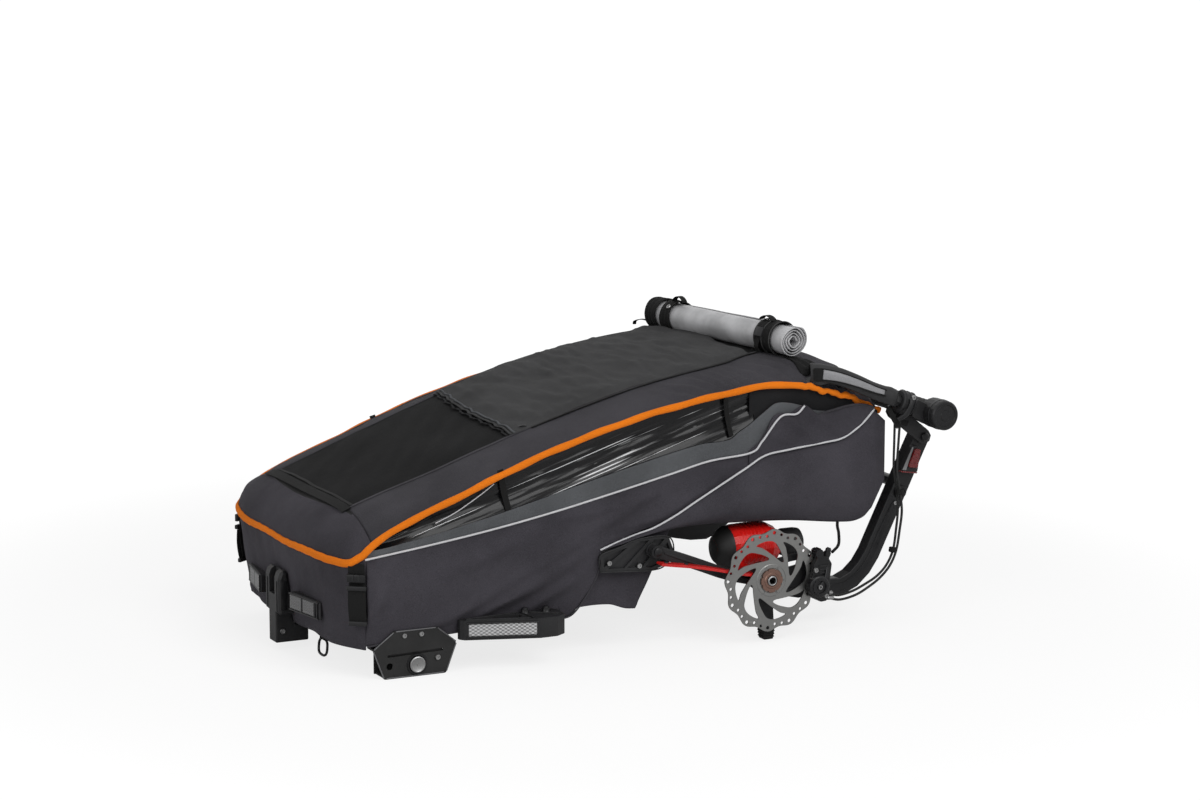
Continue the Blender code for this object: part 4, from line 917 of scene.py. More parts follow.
def buildEdgePiping():
    for side in sides:
        path = []
        for i in range(260):
            x = -0.444 + 0.87 * i / 259
            z = lineAt(lines["piping"], x)
            crumple = ease((x - 0.275) / 0.02) * 0.9
            z += (crumple * (0.0014 * sin(x * 190 + 1.2) + 0.001 * sin(x * 390)) + 0.0005 * sin(x * 70))
            y = side * (edgeHalf(x) + 0.0016 + crumple * 0.0006 * sin(x * 210))
            path.append((x, y, z - 0.001))
        path = [(-0.4545, side * 0.2418, 0.1866), (-0.4495, side * 0.246, 0.191)] + path

        def section(t, a):
            rear = ease((t - 0.83) / 0.03)
            full = 0.0041 - 0.0006 * rear + 0.0002 * sin(t * 90) + 0.0005 * rear * sin(t * 260)
            return (full * cos(a), full * 1.32 * sin(a))
        piping = meshPiece("edgePiping_" + sideName(side), sweep(path, section, 14), "upper_frame", "orange")
        # Sewn lip that ties the piping to the canopy
        lip = [(x, y - side * 0.004, z + 0.0044) for x, y, z in path[3:]]
        tapePiece("pipingLip_" + sideName(side), lip, 0.0052, 0.001, "upper_frame", "border")


foldLines = (([(-0.2654, 0.0829), (-0.2078, 0.1114), (-0.1456, 0.1398), (-0.0619, 0.1741), (0.0441, 0.2108),
               (0.1301, 0.246)], 0.009, 0.0078),
             ([(-0.2406, 0.1186), (-0.1663, 0.1496), (-0.0996, 0.1816), (0.0227, 0.2438)], 0.0095, 0.0064),
             ([(-0.3708, 0.0712), (-0.3183, 0.0808), (-0.2652, 0.102), (-0.2324, 0.1178)], 0.01, 0.0068),
             ([(-0.208, 0.0691), (-0.1457, 0.1051), (-0.0829, 0.1336)], 0.009, 0.0066),
             ([(-0.15, 0.218), (-0.07, 0.223), (0.03, 0.24)], 0.008, 0.004),
             ([(-0.335, 0.156), (-0.26, 0.17), (-0.17, 0.205)], 0.012, 0.0042),
             ([(-0.3, 0.07), (-0.235, 0.095), (-0.175, 0.115), (-0.1, 0.15)], 0.007, 0.005),
             ([(-0.418, 0.1368), (-0.44, 0.1015), (-0.4387, 0.0671)], 0.009, 0.005))
panelValues = {"front": -0.445, "bandEnd": 0.2674, "bandShare": 0.8, "wall": 0.0018, "flapY": 0.2462,
               "flapWall": 0.0016}


def buildSides():
    front, bandEnd, share = panelValues["front"], panelValues["bandEnd"], panelValues["bandShare"]
    for side in sides:
        name = sideName(side)

        def panel(u, v):
            x = front + 0.855 * u
            low = lineAt(lines["skirt"], x)
            mid = lineAt(lines["bandLow"], x) if x < bandEnd else 0.3474 - (x - bandEnd) * 0.12
            top = lineAt(lines["bandTop"], x)
            mid = min(mid, top - 0.002)
            z = low + (mid - low) * v / share if v < share else mid + (top - mid) * (v - share) / 0.2
            relief = sum(ridge(x, z, points, wide, high) for points, wide, high in foldLines)
            relief += (rumple(x * 0.6 - z * 0.5, z, 22.0, 2.7 + side) * 0.0026
                       + rumple(x - z * 1.2, z * 0.6, 44.0, 7.1) * 0.001)
            relief *= min(1.0, v * 8 + 0.2, (1 - v) * 14 + 0.05)
            relief *= 1 - 0.85 * ease((x + 0.125) / 0.04) * (1 - ease((z - 0.185) / 0.02))
            hem = 0.0008 * exp(-(((z - low) - 0.006) / 0.0022) ** 2)
            tuck = 0.0046 * (1 - ease((x - front) / 0.018))
            return x, side * (panelHalf(z) + 0.0004 + relief + hem - tuck), z

        def skin(u, v):
            return 1 if v > share else 0

        bm = spread(260, 50, panel, skin, flip=side > 0)
        body = meshPiece("sidePanelCloth_" + name, bm, "chassis", ("body", "trim"),
                         replaced=("side_panel_" + name,), wall=panelValues["wall"])
        # Reflective piping under the grey band
        path = [(x, side * (cabin["panel"] + 0.0014 + 0.007 * ease((x - 0.16) / 0.03)), z)
                for x, z in lines["bandLow"]]
        path = smoothLine(path[1:], 200)
        beadPiece("silverPiping_" + name, path, 0.0016, 10, "chassis", "silver")

        # Inner flap under the panel's rear edge
        def flap(u, v):
            x = -0.133 + (0.129 + 0.06 * v) * u
            low = lineAt(lines["flapLow"], min(x, 0.0115)) + 0.0006 * sin(x * 60)
            top = 0.124 + 0.06 * ease((x + 0.1) / 0.1)
            z = low + (top - low) * v
            hem = 0.001 * exp(-((z - low - 0.005) / 0.002) ** 2)
            return x, side * (panelValues["flapY"] + rumple(x, z, 24.0, 5.0) * 0.0022 + hem), z
        bm = spread(60, 40, flap, flip=side > 0)
        inner = meshPiece("innerFlap_" + name, bm, "chassis", "body", wall=panelValues["flapWall"])
        declareCloth(inner)

        # Bound edge where the outer panel ends over the flap
        path = [(-0.066, side * 0.2529, 0.16), (-0.0682, side * 0.2524, 0.1321),
                (-0.0829, side * 0.2512, 0.1025), (-0.1124, side * 0.2475, 0.0655),
                (-0.15, side * 0.2472, 0.0632)]
        beadPiece("panelBinding_" + name, smoothLine(path, 50), 0.0013, 8, "chassis", "border")
        # Bound hem of the skirt
        path = []
        for i in range(90):
            x = -0.444 + 0.3 * i / 89
            z = lineAt(lines["skirt"], x)
            path.append((x, side * (panelHalf(z) + 0.0008), z + 0.0006))
        beadPiece("skirtBinding_" + name, path, 0.0016, 8, "chassis", "border")
        declareCloth(body)

        buildWindow(side, name)
        buildPocket(side, name)


windowValues = {"front": -0.433, "length": 0.633, "strapInset": 0.004, "wall": 0.0009}


def buildWindow(side, name):
    def film(u, v):
        x = windowValues["front"] + windowValues["length"] * u
        low = lineAt(lines["bandTop"], x) - 0.0015
        high = lineAt(lines["piping"], x) - 0.004
        z = low + (high - low) * v
        y = cabin["panel"] - 0.003 - 0.003 * v - 0.0062 * sin(pi * v)
        fold = (z - filmValues["slope"] * x) * 3.0
        y += (rumple(x * 0.3, fold, 34.0, 4.0 + side) * 0.0034
              + rumple(x * 0.7, fold * 2.1, 40.0, 9.0) * 0.0014) * sin(pi * min(max(v, 0.05), 0.95))
        return x, side * y, z
    bm = spread(220, 34, film, flip=side > 0)
    piece = meshPiece("windowFilm_" + name, bm, "upper_frame", "film", replaced=("side_window_" + name,),
                      wall=windowValues["wall"])
    for number, (x0, z0, x1, z1, wide) in enumerate(((-0.231, 0.301, -0.215, 0.23, 0.01),
                                                    (0.148, 0.378, 0.158, 0.32, 0.008))):
        inset = windowValues["strapInset"]
        path = [(x0 + (x1 - x0) * t, side * (0.2512 - inset * sin(pi * t)), z0 + (z1 - z0) * t)
                for t in (i / 19 for i in range(20))]
        bm = ribbonSweep(path, wide, 0.0012, up=(0, side, 0))
        meshPiece(f"windowStrap_{number}_" + name, bm, "upper_frame", "strap")
    # Thin pale bead in front of the first strap: a painted highlight along a stretched fold of the film
    path = [(-0.335, side * 0.2478, 0.2285), (-0.3, side * 0.2455, 0.242), (-0.262, side * 0.2462, 0.264),
            (-0.24, side * 0.249, 0.28)]
    beadPiece("windowFoldGlint_" + name, smoothLine(path, 40), 0.0008, 8, "upper_frame", "silver")
    declareCloth(piece)


pocketFolds = (([(0.2335, 0.3575), (0.269, 0.3311), (0.3002, 0.305)], 0.0085, 0.005),
               ([(0.2952, 0.3526), (0.3401, 0.3175), (0.3851, 0.298)], 0.0085, 0.0042),
               ([(0.3576, 0.3437), (0.3939, 0.3131)], 0.0075, 0.0034),
               ([(0.215, 0.33), (0.238, 0.312), (0.262, 0.3)], 0.007, 0.003))
pocketValues = {"front": -0.066, "rear": 0.43, "seamEnd": 0.4077, "puff": 0.0115, "gussetFront": 0.1871,
                "shadeSheetFront": 0.192, "wall": 0.0018}


def buildPocket(side, name):
    seamEnd = pocketValues["seamEnd"]

    # Puffed pocket under the reflective seam
    def lower(u, v):
        x = pocketValues["front"] + 0.496 * u
        top = lineAt(lines["pocketSeam"], min(x, seamEnd)) - max(0.0, x - seamEnd) * 0.9
        low = lineAt(lines["pocketLow"], min(x, seamEnd)) + max(0.0, x - seamEnd) * 1.9
        low = min(low, top - 0.002)
        z = low + (top - low) * v
        ends = ease((x + 0.066) / 0.05) * ease((pocketValues["rear"] - x) / 0.03)
        swell = (1 - abs(2 * v - 1) ** 3.2) * ends
        relief = rumple(x, z, 18.0, 3.3 + side) * 0.003 + rumple(x * 0.5 - z, z * 0.4, 36.0, 6.1) * 0.0022
        y = cabin["panel"] + 0.0012 + pocketValues["puff"] * swell + relief * swell
        return x, side * min(y, cabin["pocket"]), z
    bm = spread(200, 36, lower, flip=side > 0)
    pocket = meshPiece("sidePocketCloth_" + name, bm, "chassis", "body", replaced=("side_pocket_" + name,),
                       wall=pocketValues["wall"])

    # Gathered upper part behind the silver seam, with its elastic top edge
    def upper(u, v):
        x = pocketValues["gussetFront"] + 0.2215 * u
        low = lineAt(lines["pocketSeam"], min(x, seamEnd)) - 0.001
        top = max(lineAt(lines["gussetTop"], x), low + 0.001)
        z = low + (top - low) * v
        relief = sum(ridge(x, z, points, wide, high) for points, wide, high in pocketFolds)
        relief += (rumple(x - z * 0.6, z, 24.0, 8.8 + side) * 0.003
                   + rumple(x * 1.5 + z, z * 0.5, 40.0, 2.2) * 0.0011)
        relief *= min(1.0, v * 6 + 0.2)
        return x, side * (0.2572 + 0.0022 * sin(pi * u) * (1 - v) - 0.002 * v + relief), z
    bm = spread(130, 36, upper, flip=side > 0)
    gusset = meshPiece("pocketGusset_" + name, bm, "chassis", "body", wall=pocketValues["wall"])

    # Dark sheet that hangs from the canopy behind the gusset: painted shade, standing in for the shaded cabin
    # seen in the gap
    def hanging(u, v):
        x = pocketValues["shadeSheetFront"] + 0.228 * u
        top = lineAt(lines["piping"], x) - 0.002
        z = 0.292 + (top - 0.292) * v
        return x, side * (0.2455 + rumple(x, z, 20.0, 6.6) * 0.0012), z
    shadeSheet = meshPiece("windowShadeSheet_" + name, spread(70, 20, hanging, flip=side > 0), "upper_frame", "dark",
                      wall=0.001)
    declareCloth(shadeSheet)

    path = [(x, side * (0.2528 + 0.006 * ease((x + 0.05) / 0.1) * ease((0.43 - x) / 0.04)), z)
            for x, z in lines["pocketSeam"]]
    seam = beadPiece("pocketSeam_" + name, smoothLine(path, 150), 0.0016, 10, "chassis", "silver")
    path = []
    for i in range(60):
        x = 0.281 + 0.127 * i / 59
        z = max(lineAt(lines["gussetTop"], x), lineAt(lines["pocketSeam"], min(x, seamEnd)) + 0.001)
        path.append((x, side * (0.2556 + 0.0004 * sin(i * 1.9)), z))
    elastic = meshPiece("pocketElastic_" + name,
                        sweep(path, lambda t, a: (0.0018 * cos(a) * (1 + 0.15 * sin(t * 160)),
                                                                      0.002 * sin(a)), 10),
                        "chassis", "border")
    declareCloth(pocket)
    declareCloth(gusset)


def buildBag():
    steps = 60
    line = smoothLine(onSide(0, [(0.094, 0.2052), (0.16, 0.2048), (0.22, 0.204), (0.33, 0.204),
                                 (0.385, 0.208), (0.425, 0.228), (0.444, 0.262), (0.44, 0.315),
                                 (0.424, 0.3735)]), steps + 1)

    def spot(u, v):
        here = line[round(v * steps)]
        across = 2 * u - 1
        far = abs(across) ** 3 * ease(v * 3 - 2)
        half = 0.211 - 0.024 * (1 - ease((here.x - 0.1) / 0.03))
        relief = (rumple(across * 0.22, v * 0.3, 20.0, 2.0) * 0.0022
                  + rumple(across * 0.5, v * 0.2, 22.0, 4.0) * 0.0012)
        inward = Vector((-0.4 if v > 0.55 else 0.0, 0, 1.0 if v < 0.7 else 0.3))
        return here + Vector((-0.003 * far, half * across, -0.047 * far)) + inward * (relief + 0.0012)
    bm = spread(80, steps, spot)
    bag = meshPiece("rearBagCloth", bm, "chassis", "body", replaced=("rear_bag",), wall=0.0016)
    path = []
    for i in range(60):
        across = -1 + 2 * i / 59
        far = abs(across) ** 3
        path.append((0.424 - 0.003 * far, 0.211 * across, 0.3735 - 0.047 * far + 0.0008 * sin(i)))
    binding = beadPiece("bagBinding", path, 0.002, 10, "chassis", "border")
    declareCloth(bag, slack=1.5)


buildCanopy()
buildSunshade()
print("canopy built")
buildNose()
buildEdgePiping()
print("nose built")
buildSides()
buildBag()
print("sides, pockets and bag built")

def turnedMesh(profile, origin, axis, steps=40):
    # Profile of (radius, height) points turned about an axis.
    bm = bmesh.new()
    verts = [bm.verts.new((radius, 0, height)) for radius, height in profile]
    edges = [bm.edges.new(pair) for pair in zip(verts, verts[1:])]
    bmesh.ops.spin(bm, geom=verts + edges, cent=(0, 0, 0), axis=(0, 0, 1), angle=tau, steps=steps,
                   use_merge=True)
    bmesh.ops.remove_doubles(bm, verts=bm.verts, dist=0.00001)
    bmesh.ops.recalc_face_normals(bm, faces=bm.faces)
    matrix = Matrix.Translation(origin) @ Vector(axis).to_track_quat("Z", "Y").to_matrix().to_4x4()
    bmesh.ops.transform(bm, matrix=matrix, verts=bm.verts)
    return bm


def turnedPiece(name, body, skin, profile, origin, axis, steps=40, replaced=()):
    return meshPiece(name, turnedMesh(profile, origin, axis, steps), body, skin, replaced=replaced)


def blockMesh(low, high, bevel, segments=2, taper=None):
    centre = (Vector(low) + Vector(high)) / 2
    size = Vector(high) - Vector(low)
    bm = bmesh.new()
    bmesh.ops.create_cube(bm, size=1.0)
    for vert in bm.verts:
        if taper:
            vert.co = taper(vert.co.copy())
        vert.co = Vector((vert.co.x * size.x, vert.co.y * size.y, vert.co.z * size.z)) + centre
    bmesh.ops.bevel(bm, geom=bm.edges[:], offset=bevel, segments=segments, profile=0.5, affect="EDGES",
                    material=-1)
    return bm


def blockPiece(name, body, skin, low, high, bevel):
    return meshPiece(name, blockMesh(low, high, bevel), body, skin)


def platePiece(name, body, skin, loops, low, high, bevel=0.0, replaced=()):
    # Flat outline with holes, given thickness between two planes.
    curve = bpy.data.curves.new(name, "CURVE")
    curve.dimensions = "2D"
    curve.fill_mode = "BOTH"
    curve.extrude = abs(high - low) / 2
    for loop in loops:
        spline = curve.splines.new("POLY")
        spline.points.add(len(loop) - 1)
        for knot, spot in zip(spline.points, loop):
            knot.co = (spot[0], spot[1], 0.0, 1.0)
        spline.use_cyclic_u = True
    holder = bpy.data.objects.new(name, curve)
    bpy.context.scene.collection.objects.link(holder)
    bpy.context.view_layer.update()
    mesh = bpy.data.meshes.new_from_object(holder.evaluated_get(bpy.context.evaluated_depsgraph_get()))
    bpy.data.objects.remove(holder, do_unlink=True)
    middle = (low + high) / 2
    bm = bmesh.new()
    bm.from_mesh(mesh)
    bpy.data.meshes.remove(mesh)
    bmesh.ops.remove_doubles(bm, verts=bm.verts, dist=0.00001)
    bmesh.ops.recalc_face_normals(bm, faces=bm.faces)
    matrix = Matrix.Translation((0, middle, 0)) @ Matrix.Rotation(pi / 2, 4, "X")
    bmesh.ops.transform(bm, matrix=matrix, verts=bm.verts)
    piece = meshPiece(name, bm, body, skin, replaced=replaced)
    if bevel:
        soften(piece, bevel)
    return piece


def polar(centre, radius, angle):
    return centre[0] + radius * cos(angle), centre[1] + radius * sin(angle)


def circle(x, z, radius, count=16):
    return [polar((x, z), radius, tau * i / count) for i in range(count)]


def closedLine(points, count):
    # Smooth closed loop through 2D points.
    size = len(points)
    out = []
    for i in range(count):
        at = i * size / count
        k = int(at)
        t = at - k
        a, b, c, d = (Vector(points[(k + j) % size]) for j in (-1, 0, 1, 2))
        out.append(0.5 * (2 * b + (c - a) * t + (2 * a - 5 * b + 4 * c - d) * t * t
                          + (3 * b - a - 3 * c + d) * t ** 3))
    return out


def screwHead(name, body, skin, place, axis, radius=0.0032, high=0.0016):
    profile = [(0.0, high * 0.35), (radius * 0.42, high * 0.35), (radius * 0.5, high * 0.95),
               (radius * 0.86, high), (radius, high * 0.55), (radius, 0.0)]
    return turnedPiece(name, body, skin, profile, place, axis, 20)


# Rolled rain cover with its two straps; near and far are the ends of its axis
rollValues = {"near": (0.294, -0.201, 0.4505), "far": (0.24, 0.172, 0.4497), "turns": 4.15, "core": 0.0055,
              "radius": 0.0236, "wall": 0.0013, "strapRadius": 0.0264}


def buildRoll():
    near, far = Vector(rollValues["near"]), Vector(rollValues["far"])
    core = rollValues["core"]
    along = (far - near).normalized()
    out = along.cross(Vector((0, 0, 1))).normalized()
    rise = out.cross(along)

    def onAxis(at, outward=0.0, upward=0.0):
        return near.lerp(far, at) + out * outward + rise * upward

    def spot(u, v):
        angle = tau * rollValues["turns"] * u
        radius = core + (rollValues["radius"] - core) * u
        radius *= 1 + 0.07 * cos(4 * angle + 0.5) * (1 - u) ** 0.7
        end = min(v, 1 - v)
        slack = (rumple(v * 0.4, angle * 0.004, 16.0, 3.0) * 0.0007
                 + rumple(v * 0.3, angle * 0.02, 9.0, 5.0) * 0.0006)
        radius += slack * u + 0.0006 * exp(-(end / 0.03) ** 2) * sin(angle * 2)
        turned = angle + 0.1 * sin(v * 5)
        shift = 0.0022 * sin(angle * 0.9) * (1 if v < 0.5 else -1) * exp(-(end / 0.02) ** 2)
        return near.lerp(far, v) + along * shift + (out * cos(turned) + rise * sin(turned)) * radius

    bm = spread(260, 90, spot)
    roll = meshPiece("rolledCoverFilm", bm, "upper_frame", "roll", replaced=("cover_roll",),
                     wall=rollValues["wall"])
    declareCloth(roll, slack=1.6)

    def wrapped(name, first, last, lift):
        def around(u, v):
            angle = tau * u
            at = first + (last - first) * v
            bulge = 0.0006 * sin(angle * 3 + at * 40) + 0.0005 * sin(at * 260)
            return near.lerp(far, at) + (out * cos(angle) + rise * sin(angle)) * (lift + bulge)

        bm = spread(56, 26, around, wrap=True)
        bmesh.ops.recalc_face_normals(bm, faces=bm.faces)
        meshPiece(name, bm, "upper_frame", "strap", wall=0.0014)

    wrapped("rollEndBand", 0.905, 0.985, 0.0262)
    wrapped("rollStrap_far", 0.8, 0.87, rollValues["strapRadius"])
    wrapped("rollStrap_near", 0.075, 0.185, rollValues["strapRadius"])

    def tab(name, at, span, high, width):
        # Loop of tape standing on the strap
        path = []
        for i in range(25):
            s = i / 24
            path.append(onAxis(at + span * (s - 0.5), -0.004, 0.0262 + high * sin(pi * s) ** 0.6))
        tapePiece(name, path, width, 0.0014, "upper_frame", "strap", up=tuple(rise))

    tab("rollLoop_far", 0.8, 0.075, 0.0085, 0.01)
    tab("rollLoop_near", 0.165, 0.085, 0.007, 0.011)
    # Press stud on the far strap and the near strap's slider
    stud = onAxis(0.82, -0.02, 0.018)
    screwHead("rollStud", "upper_frame", "bolt", stud, tuple(-out * 0.74 + rise * 0.68), 0.0042, 0.002)
    for number, at in enumerate((0.078, 0.13, 0.182)):
        path = [near.lerp(far, at) + (out * cos(a) + rise * sin(a)) * 0.0272
                for a in (tau * i / 40 for i in range(41))]
        edge = sweep(path, roundSection(0.001), 8, up=tuple(along), closed=False)
        meshPiece(f"rollStrapEdge_{number}", edge, "upper_frame", "webLight")
    slider = onAxis(0.15, -0.0248, 0.01)
    bm = blockMesh((-0.009, -0.003, -0.0075), (0.009, 0.003, 0.0075), 0.0014)
    turn = (-out * 0.93 + rise * 0.36).to_track_quat("Y", "Z").to_matrix().to_4x4()
    bmesh.ops.transform(bm, matrix=Matrix.Translation(slider) @ turn, verts=bm.verts)
    meshPiece("rollStrapSlider", bm, "upper_frame", "plastic")
    # Hanging webbing tail beneath the near strap, and the small loop beside the far end
    tail = smoothLine([onAxis(0.15, -0.0262, 0.004), onAxis(0.156, -0.03, -0.012),
                       onAxis(0.15, -0.027, -0.0215)], 16)
    tapePiece("rollStrapTail", tail, 0.011, 0.0014, "upper_frame", "strap", up=tuple(out))
    side = smoothLine([onAxis(1.01, 0.0, -0.02), onAxis(1.05, -0.01, -0.014),
                       onAxis(1.095, -0.014, -0.018), onAxis(1.12, -0.01, -0.025)], 24)
    tapePiece("rollSideLoop", side, 0.006, 0.0014, "upper_frame", "strap")


shoulderValues = {"wide": 0.014, "high": 0.0165, "wall": 0.0022, "wrap": 256,
                  "line": [(0.3, 0.24, 0.404), (0.318, 0.2465, 0.4035), (0.34, 0.254, 0.398),
                           (0.368, 0.2595, 0.3865), (0.4, 0.262, 0.3715), (0.438, 0.262, 0.3575)]}


def buildShoulders():
    path = smoothLine(shoulderValues["line"], 61)
    for side in sides:
        name = sideName(side)

        def around(at, degrees, lift):
            here = path[at]
            ahead = (path[min(at + 1, 60)] - path[max(at - 1, 0)]).normalized()
            out = ahead.cross(Vector((0, 0, 1))).normalized() * -1
            rise = out.cross(ahead) * -1
            angle = radians(degrees)
            spot = (here + out * (shoulderValues["wide"] + lift) * sin(angle)
                    + rise * (shoulderValues["high"] + lift) * cos(angle))
            return Vector((spot.x, side * spot.y, spot.z))

        def cover(u, v):
            at = round(v * 60)
            ends = 0.0012 * exp(-((min(v, 1 - v) - 0.05) / 0.03) ** 2)
            soft = rumple(v * 0.1, u * 0.06, 40.0, 3.0) * 0.0007
            return around(at, shoulderValues["wrap"] * (u - 0.5), ends + soft - 0.0002)

        bm = spread(48, 60, cover)
        bmesh.ops.recalc_face_normals(bm, faces=bm.faces)
        piece = meshPiece("shoulderPad_" + name, bm, "upper_frame", "shoulder",
                          replaced=("shoulder_cover_" + name,), wall=shoulderValues["wall"])
        declareCloth(piece)
        bm = spread(10, 46, lambda u, v: around(12 + round(v * 40), 58 + (52 - 28 * v) * u, 0.0018))
        bmesh.ops.recalc_face_normals(bm, faces=bm.faces)
        meshPiece("shoulderInlay_" + name, bm, "upper_frame", "inlay", wall=0.0009)
        # Black patch that runs from the pad up over the canopy
        def patch(u, v):
            x = 0.29 + 0.085 * u - 0.006 * v
            y = 0.236 - 0.058 * v * (1 - 0.75 * u)
            return x, side * y, roofSpot(x, y) + canopyRelief(x, side * y, edgeHalf(x)) + 0.0022
        skin = meshPiece("shoulderPatch_" + name, spread(24, 16, patch, flip=side > 0), "upper_frame",
                         "strap", wall=0.0014)
        declareCloth(skin)
        # Black tab and edging round the inlay
        for number, (first, last) in enumerate(((55, 55), (113, 86))):
            edge = [around(10 + i, first + (last - first) * i / 43, 0.0016) for i in range(44)]
            beadPiece(f"inlayEdge_{number}_" + name, edge, 0.0011, 8, "upper_frame", "strap")
        tab = [around(3 + i, 84, 0.0026 - 0.0004 * abs(i - 4)) for i in range(9)]
        tapePiece("shoulderTab_" + name, tab, 0.02, 0.003, "upper_frame", "strap", up=(0, side, 0.1))


def cushionMesh(size):
    # Crowned pad with drawn-in sides.
    half = [value / 2 for value in size]
    bm = bmesh.new()
    bmesh.ops.create_cube(bm, size=2.0)
    bmesh.ops.subdivide_edges(bm, edges=bm.edges[:], cuts=23, use_grid_fill=True)
    for vert in bm.verts:
        a, b, c = vert.co
        draw = 0.05 * (1 - c * c)
        x = a * half[0] * (1 - draw - 0.03 * (1 - b * b))
        y = b * half[1] * (1 - draw - 0.03 * (1 - a * a))
        fall = 0.45 if c > 0 else 0.04
        z = c * half[2] * (1 - fall * a ** 4) * (1 - fall * b ** 4)
        vert.co = Vector((x, y, z))
    return bm


def swell(name, size, matrix, channels, cap):
    # Pad that swells under cloth pressure from a slightly smaller form, then gets its sewn channels.
    bm = cushionMesh(tuple(value - 0.006 for value in size))
    mesh = bpy.data.meshes.new(name)
    bm.to_mesh(mesh)
    bm.free()
    pad = bpy.data.objects.new(name, mesh)
    bpy.context.scene.collection.objects.link(pad)
    remesh = pad.modifiers.new("voxels", "REMESH")
    remesh.mode = "VOXEL"
    remesh.voxel_size = 0.006
    bpy.context.view_layer.update()
    voxels = bpy.data.meshes.new_from_object(pad.evaluated_get(bpy.context.evaluated_depsgraph_get()))
    pad.modifiers.clear()
    pad.data = voxels
    before = [vert.co.copy() for vert in voxels.vertices]
    sim = pad.modifiers.new("swell", "CLOTH")
    sim.settings.use_pressure = True
    sim.settings.uniform_pressure_force = 4.0
    sim.settings.effector_weights.gravity = 0.0
    sim.settings.quality = 5
    for number in range(1, 21):
        bpy.context.scene.frame_set(number)
    swollen = bpy.data.meshes.new_from_object(pad.evaluated_get(bpy.context.evaluated_depsgraph_get()))
    pad.modifiers.clear()
    pad.data = swollen
    bpy.context.scene.frame_set(1)
    for vert, old in zip(swollen.vertices, before):
        move = vert.co - old
        if move.length > cap:
            vert.co = old + move.normalized() * cap
    bm = bmesh.new()
    bm.from_mesh(pad.data)
    bpy.data.objects.remove(pad, do_unlink=True)
    bmesh.ops.smooth_vert(bm, verts=bm.verts, factor=0.5, use_axis_x=True, use_axis_y=True, use_axis_z=True)
    half = [value / 2 for value in size]
    for vert in bm.verts:
        a, c = vert.co.x / half[0], vert.co.z / half[2]
        if c > 0:
            vert.co.z -= min(1.0, c * 1.4) * sum(0.0055 * exp(-((a - at) / 0.05) ** 2) for at in channels)
        for i in range(3):
            vert.co[i] = max(-half[i], min(half[i], vert.co[i]))
        vert.co = matrix @ vert.co
    return bm


# Seat: pads' sizes, their sewn channels from -1 to 1 along x, and the pan's top
seatValues = {"pad": (0.17, 0.33, 0.036), "padChannels": (-0.4, 0.4), "back": (0.285, 0.33, 0.03),
              "backChannels": (-0.5, 0.0, 0.5), "swelling": 0.006, "panTop": 0.078}


def buildSeat():
    top, size, back, most = (seatValues[key] for key in ("panTop", "pad", "back", "swelling"))
    spot = Matrix.Translation((-0.16, 0, top + 0.0003 + size[2] / 2))
    bm = swell("seatPadForm", size, spot, seatValues["padChannels"], most)
    pad = meshPiece("seatCushion", bm, "chassis", "seat", replaced=("seat_pad",))
    slope = atan2(0.304 - 0.2195, 0.355 - 0.1)
    outward = Vector((-sin(slope), 0, cos(slope)))
    centre = Vector((0.2275, 0, 0.26175)) + outward * (0.0103 + back[2] / 2)
    spot = Matrix.Translation(centre) @ Matrix.Rotation(-slope, 4, "Y")
    bm = swell("seatBackForm", back, spot, seatValues["backChannels"], most)
    rest = meshPiece("backCushion", bm, "chassis", "seat", replaced=("seat_back",))

    def pan(u, v):
        x, y = -0.42 + 0.36 * u, -0.1906 + 0.3812 * v
        sag = 0.002 * sin(pi * u) * sin(pi * v)
        return x, y, top - 0.0006 - sag + rumple(x, y, 16.0, 2.0) * 0.0006

    floor = meshPiece("floorCloth", spread(80, 80, pan), "chassis", "dark", replaced=("floor_pan",),
                      wall=0.002)
    declareCloth(floor)


# Brake rotor: wavy rim, holes in threes, swept windows
rotorValues = {"y": 0.3, "radius": 0.078, "wave": 0.0025, "waves": 12, "thick": 0.002, "rivets": 0.0222,
               "angle": radians(86)}
windowSweep = [(61.8, 25), (55, 17.5), (47, 9), (40, -2), (34.8, -16), (32.5, -33), (35, -38.5), (41, -29.5),
               (49, -18), (58.5, -7.5), (62.3, 3), (62.8, 15)]


